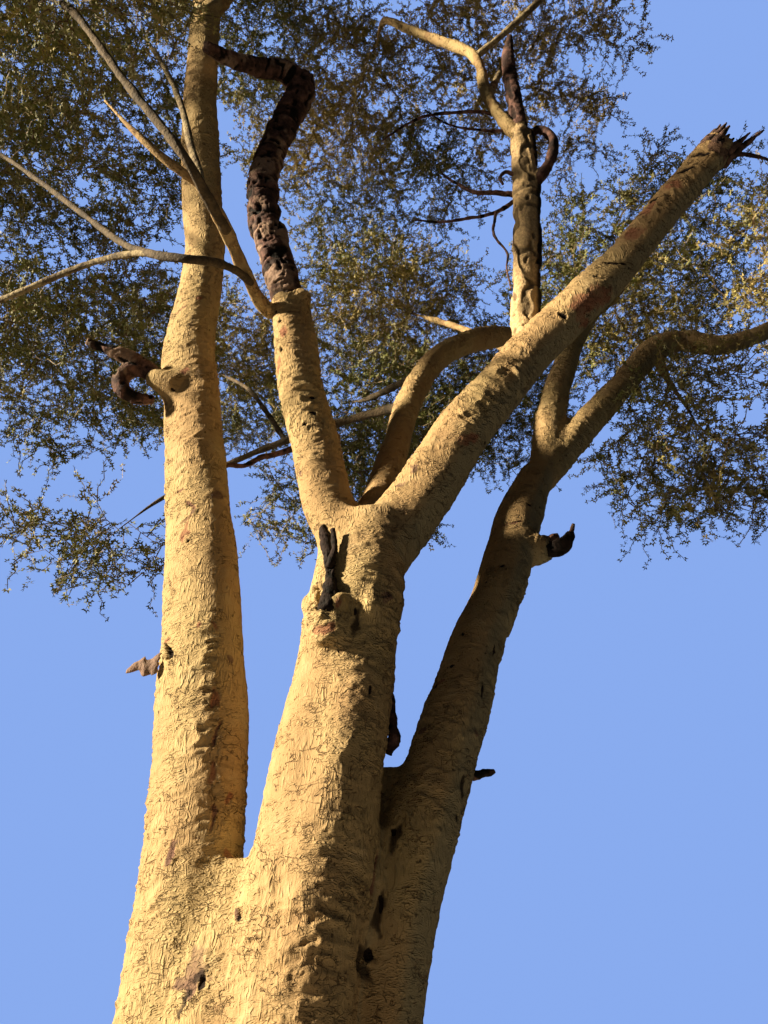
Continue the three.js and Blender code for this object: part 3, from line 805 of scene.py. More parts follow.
class Limb:
    """A limb's middle line in even steps, with a frame across it that turns with it."""

    def __init__(self, name, stations, phase=0, flared=False, spacing=RING_SPACING):
        self.name = name
        self.phase = phase
        self.flared = flared
        shares = np.linspace(0, 1, 400)
        rough = on_line(stations, shares)[:, :3]
        far = np.concatenate([[0], np.cumsum(np.linalg.norm(np.diff(rough, axis=0), axis=1))])
        steps = max(6, int(far[-1] / spacing))
        self.far = np.linspace(0, far[-1], steps + 1)
        self.shares = np.interp(self.far, far, shares)
        rows = on_line(stations, self.shares)
        self.middle = rows[:, :3]
        self.radius = rows[:, 3]
        along = np.gradient(self.middle, axis=0)
        self.along = along / np.linalg.norm(along, axis=1)[:, None]
        side = np.array((1.0, 0, 0)) if abs(self.along[0, 0]) < 0.8 else np.array((0, 1.0, 0))
        self.side = np.empty_like(self.along)
        for step, heading in enumerate(self.along):
            side = side - heading * side.dot(heading)
            side = side / np.linalg.norm(side)
            self.side[step] = side
        self.across = np.cross(self.along, self.side)

    def section(self, angle, height):
        """How much the root flare and the crooked section widen the limb, at each ring and angle."""
        lobes = np.cos(2 * angle + self.phase) + 0.6 * np.cos(3 * angle + 2 * self.phase)
        crooked = CROOKED * lobes + ASKEW.get(self.name, 0) * np.sin(2 * angle)
        if not self.flared:
            return 1 + crooked + 0 * height
        low = np.clip(1 - np.maximum(height, 0) / FLARE_HEIGHT, 0, 1)
        ridges = 0.6 + 0.4 * np.cos(FLARE_LOBES * angle + self.phase)
        return 1 + crooked + FLARE * low**2 * ridges

    def tube(self, sides):
        """Places and triangles of the limb's skin."""
        angle = np.linspace(0, 2 * np.pi, sides, endpoint=False)[None, :]
        reach = self.radius[:, None] * self.section(angle, self.middle[:, 2:])
        places = self.middle[:, None, :] + reach[:, :, None] * (
            np.cos(angle)[:, :, None] * self.side[:, None, :]
            + np.sin(angle)[:, :, None] * self.across[:, None, :]
        )
        rings = len(self.middle)
        places = places.reshape(-1, 3)
        ring, corner = np.meshgrid(np.arange(rings - 1), np.arange(sides), indexing="ij")
        a = (ring * sides + corner).ravel()
        b = (ring * sides + (corner + 1) % sides).ravel()
        triangles = np.concatenate(
            [np.stack([a, b, b + sides], axis=1), np.stack([a, b + sides, a + sides], axis=1)]
        )
        foot = len(places)
        places = np.vstack([places, self.middle[0], self.middle[-1]])
        around = np.arange(sides)
        following = (around + 1) % sides
        last = (rings - 1) * sides
        low = np.stack([np.full(sides, foot), following, around], axis=1)
        high = np.stack([np.full(sides, foot + 1), last + around, last + following], axis=1)
        return places, np.concatenate([triangles, low, high])

    def ring_of(self, count, sides):
        """The number of the ring that each place of the limb's skin lies on."""
        last = len(self.middle) - 1
        ring = np.minimum(np.arange(count) // sides, last)
        ring[-2:] = (0, last)
        return ring

    def coordinates(self, places):
        """Each place in the limb's own frame: across it both ways, along it, and its distance in radii."""
        step = np.empty(len(places), dtype=int)
        for start in range(0, len(places), 20000):
            block = places[start:start + 20000]
            away = (block**2).sum(1)[:, None] - 2 * block @ self.middle.T + (self.middle**2).sum(1)[None, :]
            step[start:start + 20000] = away.argmin(1)
        offset = places - self.middle[step]
        x = (offset * self.side[step]).sum(1)
        y = (offset * self.across[step]).sum(1)
        s = self.far[step] + (offset * self.along[step]).sum(1)
        past = np.maximum(np.maximum(-s, s - self.far[-1]), 0)
        distance = np.sqrt(x**2 + y**2 + past**2) / self.radius[step]
        return np.stack([x, y, s], axis=1), distance


def joined(parts):
    """Several skins as one."""
    places = []
    triangles = []
    count = 0
    for skin_places, skin_triangles in parts:
        places.append(skin_places)
        triangles.append(skin_triangles + count)
        count += len(skin_places)
    return np.vstack(places), np.vstack(triangles)


def two_nearest(places, limbs):
    """For each place the nearest two limbs, the place in their frames and how much the first counts."""
    count = len(places)
    best = np.zeros((2, count), dtype=int)
    distance = np.full((2, count), 50.0)
    own = np.zeros((2, count, 3))
    for number, limb in enumerate(limbs):
        reach = limb.radius.max() * 2 + 0.2
        low = limb.middle.min(0) - reach
        high = limb.middle.max(0) + reach
        near = np.nonzero(((places > low) & (places < high)).all(1))[0]
        frame_places, away = limb.coordinates(places[near])
        first = away < distance[0, near]
        moved = near[first]
        best[1, moved] = best[0, moved]
        distance[1, moved] = distance[0, moved]
        own[1, moved] = own[0, moved]
        best[0, moved] = number
        distance[0, moved] = away[first]
        own[0, moved] = frame_places[first]
        second = ~first & (away < distance[1, near])
        moved = near[second]
        best[1, moved] = number
        distance[1, moved] = away[second]
        own[1, moved] = frame_places[second]
    return best, distance, own


# The relief of live bark
def bark_relief(q, seed):
    """The bark's broad swell in metres, its crinkles from 0 to 1, its cracks from 0 to 1."""
    bent = q + BEND_BROAD * three_noises(q * BENDS_BROAD, 9.1, seed)
    bent = bent + BEND_FINE * three_noises(q * BENDS_FINE, 9.1, seed + 5)
    swell = SWELL_HEIGHT * fractal(q * SWELL_WAVES, 2, seed + 10)
    wrinkle = (1 - np.abs(noise(bent * WRINKLE_WAVES, seed + 20))) ** 3
    fine = (1 - np.abs(noise(bent * FINE_WAVES, seed + 30))) ** 2
    broken = 0.4 + 0.6 * soft_step(-0.3, 0.4, noise(q * 5, seed + 35))
    rough = 0.3 + 0.7 * soft_step(-0.4, 0.35, noise(q * ROUGH_WAVES, seed + 15))
    first, second, _ = cells(bent * PLATE_WAVES, seed + 40)
    crack = 1 - soft_step(0, CRACK_WIDTH, second - first)
    crack = crack * soft_step(0.1, 0.5, noise(q * 3.3, seed + 45))
    crinkle = rough * (WRINKLE_SHARE * broken * wrinkle + (1 - WRINKLE_SHARE) * fine)
    return swell, crinkle, crack


def stem_stations(stem):
    x, y, z, radius = stem["fused"][0]
    return [(x, y, z - BURIED, radius)] + stem["fused"] + stem["free"]


def bark_limbs():
    """Every limb that the joined bark covers, and how far up its stem the trunk's node reaches."""
    limbs = []
    for phase, (name, stem) in enumerate(STEMS.items()):
        limb = Limb(name, stem_stations(stem), phase, flared=True)
        limb.fused = len(stem["fused"]) / (len(stem["fused"]) + len(stem["free"]))
        limbs.append(limb)
    for saddle in SADDLES:
        limbs.append(Limb("trunk", saddle))
    for name, collar in COLLARS.items():
        limbs.append(Limb(name, collar))
    for phase, (name, stations) in enumerate(BOUGHS.items()):
        limbs.append(Limb(name, stations, phase))
    return limbs


def read_marks(core, places, normals):
    """How strongly each kind of mark covers each place, and how far the marks lift the bark."""
    tree = BVHTree.FromObject(core, bpy.context.evaluated_depsgraph_get())
    cover = {kind: np.zeros(len(places)) for kind in MARK_RELIEF}
    height = np.zeros(len(places))
    for number, (kind, u, v, width, length, lean) in enumerate(MARKS):
        hit, facing = tree.ray_cast(EYE, sight_line(u, v))[:2]
        if hit is None:
            continue
        facing = np.array(facing)
        offset = places - np.array(hit)
        near = np.nonzero(np.abs(offset).max(1) < max(width, length) * 0.75 + 0.04)[0]
        near = near[normals[near] @ facing > 0.1]
        offset = offset[near]
        side = unit(np.cross((0, 0, 1), facing)[None, :])[0]
        up = np.cross(facing, side)
        turn = np.radians(lean)
        axis = up * np.cos(turn) + side * np.sin(turn)
        side = side * np.cos(turn) - up * np.sin(turn)
        small = min(width, length)
        ragged = 0.0 if kind in EVEN_MARKS else 1.0
        wander = 0
        for reach, waves, seed in MARK_WANDER:
            wander = wander + reach * ragged * width * noise(places[near] * waves, seed + number)
        x = (offset @ side + wander) / (width / 2)
        y = (offset @ axis) / (length / 2)
        frayed = noise(places[near] * (0.9 / small), MARK_SEED + number)
        frayed = frayed + 0.6 * noise(places[near] * 45, MARK_SEED + 100 + number)
        away = np.sqrt(x**2 + y**2) * (1 + MARK_FRAY * ragged * frayed)
        share = 1 - soft_step(0.5 if ragged else 0.2, MARK_EDGE, away)
        cover[kind][near] = np.maximum(cover[kind][near], share)
        inside, rim = MARK_RELIEF[kind]
        at_rim = np.exp(-(((away - MARK_EDGE) / RIM_WIDTH) ** 2))
        height[near] += small * (inside * share + rim * at_rim)
    # Holes are painted black as their shade; stains darken the same layer as the real dark marks they are
    cover["hole"] = np.maximum(cover["hole"], STAIN_DEPTH * cover["stain"])
    return cover, height


def build_bark():
    limbs = bark_limbs()
    places, triangles = joined([limb.tube(ROUND_SIDES) for limb in limbs])
    core = remeshed(make_mesh("bark_core", places, triangles), VOXEL)
    places = places_of(core.data)
    best, distance, own = two_nearest(places, limbs)
    crotch = 1 - soft_step(0.1, 0.8, distance[1] - distance[0])
    edges = edges_of(core.data)
    places = evened(places, edges, np.full(len(places), EVEN_WEIGHT), EVEN_ROUNDS)
    places = evened(places, edges, CROTCH_WEIGHT * crotch, CROTCH_ROUNDS)
    set_places(core.data, places)
    core = finer(core)

    places = places_of(core.data)
    normals = normals_of(core.data)
    best, distance, own = two_nearest(places, limbs)
    share = 0.5 + 0.5 * soft_step(0, 0.35, distance[1] - distance[0])
    swell, crinkle, crack = (0, 0, 0)
    for rank, weight in ((0, share), (1, 1 - share)):
        parts = bark_relief(own[rank] + best[rank][:, None] * 3.7, BARK_SEED)
        swell = swell + weight * parts[0]
        crinkle = crinkle + weight * parts[1]
        crack = crack + weight * parts[2]
    cover, lift = read_marks(core, places, normals)
    calm = 1 - 0.35 * cover["flush"] + 0.5 * cover["scar"]
    crinkled = crinkle * calm * (1 + 0.8 * cover["rough"])
    height = swell + CRINKLE_HEIGHT * crinkled - CRACK_DEPTH * crack + lift - 0.5 * CRINKLE_HEIGHT
    set_places(core.data, places + normals * height[:, None])
    names = np.array([limb.name for limb in limbs])
    # Painted shade: olive grey on the listed limbs where the surface turns away from the sun
    olive = np.isin(names, list(PAINTED_SHADE_LIMBS))[best[0]] * share
    shaded = soft_step(-0.15, 0.45, -(normals @ unit(np.array([SUN_FROM]))[0]))
    # Painted shade: darker where the crinkles are low and in the cracks
    give(core.data, "furrow", np.maximum(0.5 * (1 - crinkle) * (0.4 + cover["rough"]), crack))
    # Painted shade: black in the holes, together with the real darkness of stains
    give(core.data, "hole", cover["hole"])
    give(core.data, "scar", np.maximum(cover["scar"], 0.6 * cover["seam"]))
    give(core.data, "flush", np.maximum(cover["flush"], cover["seam"]))
    give(core.data, "olive", olive * shaded)

    # The trunk's node reaches up to where its stems part
    label = names[best[0]].astype(object)
    label[label == "trunk"] = "trunk_high"
    for number, limb in enumerate(limbs[:3]):
        low = own[0][:, 2] < np.interp(limb.fused, limb.shares, limb.far)
        label[(best[0] == number) & low] = "trunk_high"
    label[(label == "trunk_high") & (places[:, 2] < TRUNK_SPLIT)] = "trunk_low"
    return core, label


def give(mesh, name, values):
    layer = mesh.attributes.new(name, "FLOAT", "POINT")
    layer.data.foreach_set("value", values.astype(np.float32))


def taken(mesh, name):
    return read(mesh.attributes[name].data, "value", 1).ravel()


def split(core, label, prefix, layers):
    """The parts of a joined mesh by label, each shaded as in the whole so that no seam shows."""
    mesh = core.data
    places = places_of(mesh)
    normals = normals_of(mesh)
    corners = read(mesh.loops, "vertex_index", 1, np.int32).reshape(-1, 4)
    values = {layer: taken(mesh, layer) for layer in layers}
    numbers = {name: k for k, name in enumerate(sorted(set(label)))}
    by_corner = np.array([numbers[name] for name in label])[corners]
    of_face = np.sort(by_corner, axis=1)[:, 1]
    pieces = {}
    for name, number in numbers.items():
        faces = corners[of_face == number]
        used, inverse = np.unique(faces, return_inverse=True)
        piece = make_mesh(prefix + name, places[used], inverse.reshape(-1, 4))
        for layer in layers:
            give(piece.data, layer, values[layer][used])
        piece.data.shade_smooth()
        piece.data.normals_split_custom_set_from_vertices(normals[used])
        pieces[name] = piece
    bpy.data.objects.remove(core)
    return pieces


def cut_at_ground(piece):
    """Cuts the piece off flat at ground level."""
    work = bmesh.new()
    work.from_mesh(piece.data)
    everything = work.verts[:] + work.edges[:] + work.faces[:]
    cut = bmesh.ops.bisect_plane(
        work, geom=everything, plane_co=(0, 0, 0), plane_no=(0, 0, 1), clear_inner=True
    )
    rim = [e for e in cut["geom_cut"] if isinstance(e, bmesh.types.BMEdge)]
    bmesh.ops.contextual_create(work, geom=rim)
    work.to_mesh(piece.data)
    work.free()


# Dead wood
def dead_relief(q, seed, along):
    """Height of dry, knobbly wood, how pale it is, and how dark: painted shade in its holes, between its
    plates and in the grooves of its rings. Along stretches the holes.
    """
    drawn_out = np.array((1, 1, along))
    bent = q + BEND_BROAD * three_noises(q * DRY_BENDS, 5.3, seed)
    knobs = KNOB_HEIGHT * fractal(bent * KNOB_WAVES, 2, seed + 10)
    first, second, number = cells(bent * (DRY_PLATE_WAVES / drawn_out), seed + 20)
    edge = soft_step(0, 0.3, second - first)
    plate = PLATE_HEIGHT * number * edge
    holes = soft_step(0.30, 0.5, noise(bent * (DRY_HOLE_WAVES / drawn_out), seed + 30))
    hollows = soft_step(0.45, 0.7, noise(bent * (DRY_HOLLOW_WAVES / drawn_out), seed + 31))
    holes = np.maximum(holes, hollows)
    ring = soft_step(0.55, 0.8, noise(bent * DRY_RING_WAVES, seed + 35))
    height = knobs + plate + DRY_GRAIN_HEIGHT * noise(bent * 50, seed + 40)
    height = height - DRY_HOLE_DEPTH * holes - DRY_RING_DEPTH * ring
    pale = soft_step(0.1, 0.5, noise(q * PALE_WAVES, seed + 50) + 0.4 * noise(bent * 22, seed + 51))
    # Painted shade: darker in holes, between plates and in the grooves of rings
    dark = np.maximum(holes, np.maximum(0.25 * (1 - edge), 0.8 * ring))
    return height, pale, dark


def twig_stations(name):
    y, foot, tip, pixels = DEAD_TWIGS[name]
    radii = np.linspace(foot, tip, len(pixels))
    return [(*seen_at(u, v, y), radius) for (u, v), radius in zip(pixels, radii)]


def build_dead(name, parts, seed):
    """Joined dead wood. The snag is pale on the side that faces the light, as bleached wood and painted
    light, and painted black behind as its shade.
    """
    snag = name == "dead_snag"
    stations = {part: DEAD_WOOD[part] for part in parts}
    for twig in TWIGS_BY_GROUP.get(name, []):
        stations[twig] = twig_stations(twig)
    limbs = [
        Limb(part, rows, phase, spacing=DEAD_SPACING) for phase, (part, rows) in enumerate(stations.items())
    ]
    places, triangles = joined([limb.tube(DEAD_SIDES) for limb in limbs if limb.name in parts])
    core = remeshed(make_mesh("wood_" + name, places, triangles), DEAD_VOXEL)
    places = places_of(core.data)
    places = evened(places, edges_of(core.data), np.full(len(places), EVEN_WEIGHT), EVEN_ROUNDS)
    set_places(core.data, places)
    core = finer(core)
    places = places_of(core.data)
    normals = normals_of(core.data)
    best, _, own = two_nearest(places, limbs[:len(parts)])
    height, pale, hole = dead_relief(own[0] + best[0][:, None] * 2.3, seed, SNAG_STRETCH if snag else 1.0)
    thin = np.clip(np.array([limb.radius.mean() for limb in limbs])[best[0]] / 0.1, 0.3, 1)
    charred = name in CHARRED
    height = height * (SNAG_HEIGHT if snag else CHARRED_HEIGHT if charred else DEAD_HEIGHT)
    set_places(core.data, places + normals * (height * thin)[:, None])
    if snag:
        # Painted light and shade: pale on the side towards the light, black on the side away from it
        pale = soft_step(-0.4, 0.0, normals @ np.array(SNAG_LIT_FACE)) * (best[0] == 0)
        black = 1 - soft_step(-0.4, 0.05, normals @ np.array(SNAG_LIT_FACE))
        hole = np.maximum(0.7 * hole, black * (best[0] == 0))
    else:
        pale = pale * (0.05 if charred else 0.95)
        hole = np.maximum(hole, CHAR if charred else 0)
    give(core.data, "pale", pale)
    give(core.data, "hole", hole)
    core.data.shade_smooth()
    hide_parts(*parts)
    return core


def build_dead_twig(name, node, seed):
    """A dead twig or stub too small for the frame, knobbly, on the node that it belongs to."""
    limb = Limb(name, twig_stations(name), seed, spacing=TWIG_SPACING)
    places, triangles = limb.tube(LIMB_SIDES)
    q = limb.coordinates(places)[0]
    ring = limb.ring_of(len(places), LIMB_SIDES)
    uneven = 0.22 * noise(q * 30, seed) + 0.12 * noise(q * 80, seed + 1)
    bend = TWIG_BEND * limb.radius[:, None] * three_noises(limb.middle * 14, 5.1, seed + 2)
    places = places + (places - limb.middle[ring]) * uneven[:, None] + bend[ring]
    piece = make_mesh("wood_" + name, places, triangles)
    give(piece.data, "pale", soft_step(0.3, 0.8, noise(places * 16, seed + 9)) * 0.35)
    black = CHAR if name in CHARRED else 0
    give(piece.data, "hole", np.maximum(soft_step(0.2, 0.5, noise(places * 26, seed + 10)), black))
    piece.data.shade_smooth()
    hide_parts(node)
    return piece


def build_splinters(dead):
    """The jagged end of the broken bough: splinters round its rim, one longer than the others."""
    limb = Limb("end", BOUGHS["bough_middle_right"])
    rng = np.random.default_rng(SEED + 1)
    end, along, side, across = limb.middle[-1], limb.along[-1], limb.side[-1], limb.across[-1]
    for number in range(SPLINTERS):
        angle = 2 * np.pi * (number + rng.uniform(-0.3, 0.3)) / SPLINTERS
        out = np.cos(angle) * side + np.sin(angle) * across
        foot = end + out * limb.radius[-1] * 0.75 - along * 0.10
        length = rng.uniform(*SPLINTER_LENGTH) if number else LONG_SPLINTER
        heading = along + out * rng.uniform(-0.1, 0.35)
        rows = [
            (*(foot + heading * length * share), SPLINTER_RADIUS * (1 - 0.85 * share))
            for share in (0, 0.35, 0.7, 1)
        ]
        splinter = Limb("splinter", rows, number, spacing=SPLINTER_SPACING)
        places, triangles = splinter.tube(SPLINTER_SIDES)
        places = places + 0.008 * noise(places * 40, number)[:, None] * out
        piece = make_mesh(f"wood_splinter_{number}", places, triangles)
        give(piece.data, "pale", np.full(len(places), 0.15))
        give(piece.data, "hole", soft_step(-0.2, 0.4, noise(places * 30, number)))
        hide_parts("bough_middle_right")
        dress(piece, dead)


def build_flap():
    """The curled flap of bark that hangs by one edge from the torn hole in the left stem."""
    foot = np.array(seen_at(*FLAP_FOOT, FLAP_DISTANCE))
    tip = np.array(seen_at(*FLAP_TIP, FLAP_DISTANCE))
    reach = tip - foot
    rows = []
    for step in range(FLAP_ROWS):
        share = step / (FLAP_ROWS - 1)
        sag = FLAP_SAG * np.sin(np.pi * share) * (1 if share > 0.45 else -0.6)
        middle = foot + reach * share + np.array((0, 0, sag))
        half = FLAP_WIDTH * (1 - 0.8 * share ** 1.4) * (1 + 0.12 * np.sin(17 * share)) / 2
        for column in range(FLAP_COLUMNS):
            turn = (column / (FLAP_COLUMNS - 1) - 0.5) * np.radians(FLAP_CURL)
            ragged = 0.25 * np.sin(5.3 * step + 2.9 * column)
            curl = (ragged, -np.cos(turn) * 0.6, 1.15 * np.sin(turn) + 0.2 * ragged)
            rows.append(middle + half * np.array(curl))
    faces = []
    for step in range(FLAP_ROWS - 1):
        for column in range(FLAP_COLUMNS - 1):
            a = step * FLAP_COLUMNS + column
            faces.append((a, a + 1, a + FLAP_COLUMNS + 1, a + FLAP_COLUMNS))
    piece = make_mesh("bark_flap", np.array(rows), faces)
    solid = piece.modifiers.new("thick", "SOLIDIFY")
    solid.thickness = FLAP_THICKNESS
    piece = finer(evaluated(piece))
    give(piece.data, "pale", np.full(len(piece.data.vertices), 0.6))
    give(piece.data, "hole", np.zeros(len(piece.data.vertices)))
    piece.data.shade_smooth()
    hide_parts("stem_left")
    return piece


def crown_limb(name, stations, seed):
    """One limb of the crown: wider at its foot, uneven, with low wrinkles, and a layer of painted shade
    where its skin is sunk in, which the stems' bark shows.
    """
    limb = Limb(name, stations, seed, spacing=LIMB_SPACING)
    limb.radius = limb.radius * (1 + FOOT_SWELL * np.exp(-limb.far / FOOT_LENGTH))
    limb.radius = limb.radius * (1 - FOOT_SHARE * np.exp(-limb.far / FOOT_ROUND))
    limb.radius = limb.radius * np.clip((limb.far[-1] - limb.far) / TIP_TAPER, TIP_SHARE, 1)
    places, triangles = limb.tube(LIMB_SIDES)
    q = limb.coordinates(places)[0]
    uneven = LIMB_UNEVEN * noise(q * LIMB_WAVES, seed) + LIMB_FINE * noise(q * LIMB_FINE_WAVES, seed + 1)
    ring = limb.ring_of(len(places), LIMB_SIDES)
    outward = places - limb.middle[ring]
    piece = make_mesh("bark_" + name, places + outward * uneven[:, None], triangles)
    piece.data.shade_smooth()
    # Painted shade where the limb's skin is sunk in
    give(piece.data, "furrow", soft_step(0.2, 1, -uneven * 8))
    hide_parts(name)
    return piece, limb


# Foliage
def points_in(node, count, rng):
    """Points scattered in a foliage mass, in clumps with open sky between them."""
    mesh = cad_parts[node].data
    tree = BVHTree.FromPolygons([v.co for v in mesh.vertices], [p.vertices for p in mesh.polygons])
    low, high = (np.array(corner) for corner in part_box(node))
    up = Vector((0, 0, 1))
    found = []
    while len(found) < count:
        tries = rng.uniform(low, high, (count * 2, 3))
        clump = noise(tries * CLUMPS, 7) + 0.5 * noise(tries * CLUMPS * 2.1, 8)
        keep = np.argsort(-clump)[: int(len(tries) * (1 - OPEN_SKY))]
        for place in tries[np.sort(keep)]:
            start = Vector(place)
            crossings = 0
            while True:
                hit = tree.ray_cast(start, up)[0]
                if hit is None:
                    break
                crossings += 1
                start = hit + up * 1e-4
            if crossings % 2:
                found.append(place)
    return np.array(found[:count])


def grow(seeds, goals, rng):
    """Twigs that grow by steps from the seed points towards the goals near them.

    Gives the points, the number of the point that each grew from, and how many are seeds."""
    places = [np.array(p) for p in seeds]
    parents = [-1] * len(places)
    known = np.array(places)
    away = np.full(len(goals), 1e9)
    nearest = np.zeros(len(goals), dtype=int)

    def look_at(new, first):
        for start in range(0, len(goals), 4000):
            block = goals[start:start + 4000]
            distance = np.linalg.norm(block[:, None, :] - new[None, :, :], axis=2)
            closest = distance.argmin(1)
            value = distance[np.arange(len(block)), closest]
            better = value < away[start:start + 4000]
            index = np.nonzero(better)[0] + start
            away[index] = value[better]
            nearest[index] = closest[better] + first

    look_at(known, 0)
    alive = np.ones(len(goals), dtype=bool)
    for _ in range(ROUNDS):
        alive &= away > KILL
        if not alive.any():
            break
        reach = max(REACH, away[alive].min() + STEP)
        pulling = np.nonzero(alive & (away < reach))[0]
        sources = nearest[pulling]
        pull = goals[pulling] - known[sources]
        pull /= np.linalg.norm(pull, axis=1)[:, None]
        unique, inverse = np.unique(sources, return_inverse=True)
        heading = np.zeros((len(unique), 3))
        np.add.at(heading, inverse, pull)
        heading /= np.linalg.norm(heading, axis=1)[:, None] + 1e-9
        heading += rng.normal(0, WANDER, heading.shape)
        heading /= np.linalg.norm(heading, axis=1)[:, None]
        new = known[unique] + heading * STEP
        first = len(known)
        known = np.vstack([known, new])
        parents.extend(unique.tolist())
        look_at(new, first)
    return known, np.array(parents), len(seeds)


def twig_radii(parents, limit):
    """Radii by the rule that a twig carries the sum of what grows from it."""
    count = len(parents)
    load = np.zeros(count)
    radii = np.zeros(count)
    for number in range(count - 1, -1, -1):
        load[number] = max(load[number], TWIG_TIP**PIPE_POWER)
        radii[number] = min(load[number] ** (1 / PIPE_POWER), limit)
        if parents[number] >= 0:
            load[parents[number]] += load[number] * PIPE_SHARE
    return radii


def rods(starts, ends, start_headings, end_headings, start_radii, end_radii, sides, tip):
    """Many thin tubes at once. With tip, each runs to a point past its end ring."""
    count = len(starts)
    angle = np.linspace(0, 2 * np.pi, sides, endpoint=False)
    rings = []
    for at, heading, radii in ((starts, start_headings, start_radii), (ends, end_headings, end_radii)):
        level = np.where(np.abs(heading[:, 2:]) < 0.9, (0.0, 0, 1), (1.0, 0, 0))
        side = np.cross(heading, level)
        side /= np.linalg.norm(side, axis=1)[:, None]
        across = np.cross(heading, side)
        rings.append(at[:, None, :] + radii[:, None, None] * (
            np.cos(angle)[None, :, None] * side[:, None, :]
            + np.sin(angle)[None, :, None] * across[:, None, :]
        ))
    places = np.concatenate(rings, axis=1)
    if tip:
        points = ends + end_headings * end_radii[:, None] * 3
        places = np.concatenate([places, points[:, None, :]], axis=1)
    each = places.shape[1]
    corner = np.arange(sides)
    following = (corner + 1) % sides
    triangles = [
        np.stack([corner, following, following + sides], axis=1),
        np.stack([corner, following + sides, corner + sides], axis=1),
    ]
    if tip:
        triangles.append(np.stack([corner + sides, following + sides, np.full(sides, 2 * sides)], axis=1))
    triangles = np.vstack(triangles)
    faces = triangles[None, :, :] + (np.arange(count) * each)[:, None, None]
    return places.reshape(-1, 3), faces.reshape(-1, 3)


def unit(vectors):
    return vectors / (np.linalg.norm(vectors, axis=1)[:, None] + 1e-12)


def sprays(places, headings, rng):
    """Leaf-bearing twigs from the points of the twigs, each a zigzag line."""
    places = np.repeat(places, SPRAYS_PER_POINT, axis=0)
    headings = np.repeat(headings, SPRAYS_PER_POINT, axis=0)
    sideways = unit(np.cross(headings, rng.normal(0, 1, places.shape)))
    spread = rng.normal(0, SPRAY_SPREAD, places.shape)
    heading = unit(headings * SPRAY_FORWARD + sideways + spread + (0, 0, SPRAY_RISE))
    run = rng.uniform(*SPRAY_LENGTH, len(places))[:, None] / BENDS
    swing = unit(np.cross(heading, rng.normal(0, 1, places.shape)))
    line = [places + headings * rng.uniform(-SPRAY_SHIFT, SPRAY_SHIFT, len(places))[:, None]]
    for bend in range(BENDS):
        heading = unit(heading + rng.normal(0, SPRAY_WANDER, places.shape) + (0, 0, -DROOP))
        side = swing * (ZIGZAG if bend % 2 else -ZIGZAG)
        line.append(line[-1] + unit(heading + side) * run)
    return np.stack(line, axis=1)


def ribbons(lines, rng):
    """Thin flat strips along the lines, tapering to their tips."""
    count, steps = lines.shape[:2]
    along = np.gradient(lines, axis=1)
    along /= np.linalg.norm(along, axis=2)[:, :, None]
    side = np.cross(along, rng.normal(0, 1, (count, 1, 3)))
    side /= np.linalg.norm(side, axis=2)[:, :, None]
    half = np.linspace(*SPRAY_WIDTH, steps)[None, :, None] / 2
    places = np.stack([lines - side * half, lines + side * half], axis=2).reshape(-1, 3)
    faces = []
    for a in range(0, 2 * (steps - 1), 2):
        faces += [(a, a + 1, a + 3), (a, a + 3, a + 2)]
    faces = np.array(faces)[None, :, :] + (np.arange(count) * steps * 2)[:, None, None]
    return places, faces.reshape(-1, 3)


def tuft_template():
    """A tuft of pointed blades, one unit long each, fanned out from its foot."""
    places = []
    for number, turn in enumerate(BLADE_TURNS):
        angle = np.radians(turn)
        heading = np.array((np.cos(angle), np.sin(angle), 0.35 if number % 2 else -0.05))
        across = np.array((-np.sin(angle), np.cos(angle), 0)) * BLADE_WIDTH / 2
        middle = heading * 0.3
        places += [middle - across, middle + across, heading]
    return np.array(places), np.arange(len(places)).reshape(-1, 3)


def tufts_on(lines, rng):
    """Tufts along the sprays: their feet, headings, upper sides, lengths and the spray of each."""
    count = len(lines)
    feet = []
    headings = []
    uppers = []
    owner = []
    for number in range(TUFTS_PER_SPRAY):
        along = (number + rng.uniform(0.5, 1.0, count)) / TUFTS_PER_SPRAY * BENDS
        run = np.minimum(along.astype(int), BENDS - 1)
        start = lines[np.arange(count), run]
        step = lines[np.arange(count), run + 1] - start
        axis = unit(step)
        side = unit(np.cross(axis, rng.normal(0, 1, axis.shape) + (0, 0, 1.2)))
        side *= 1 if number % 2 else -1
        out = TUFT_OUT if number < TUFTS_PER_SPRAY - 1 else LAST_TUFT_OUT
        heading = unit(axis * TUFT_FORWARD + side * out)
        upper = rng.normal(0, TUFT_TILT, axis.shape) + (0, 0, 1)
        upper = unit(upper - heading * (upper * heading).sum(1)[:, None])
        feet.append(start + step * (along - run)[:, None])
        headings.append(heading)
        uppers.append(upper)
        owner.append(np.arange(count))
    length = rng.uniform(*BLADE_LENGTH, count * TUFTS_PER_SPRAY)
    return np.vstack(feet), np.vstack(headings), np.vstack(uppers), length, np.concatenate(owner)


def leaf_mesh(name, feet, headings, uppers, lengths):
    template, triangles = tuft_template()
    sides = np.cross(uppers, headings)
    places = feet[:, None, :] + lengths[:, None, None] * (
        template[None, :, :1] * headings[:, None, :]
        + template[None, :, 1:2] * sides[:, None, :]
        + template[None, :, 2:] * uppers[:, None, :]
    )
    faces = triangles[None, :, :] + (np.arange(len(feet)) * len(template))[:, None, None]
    return make_mesh(name, places.reshape(-1, 3), faces.reshape(-1, 3))


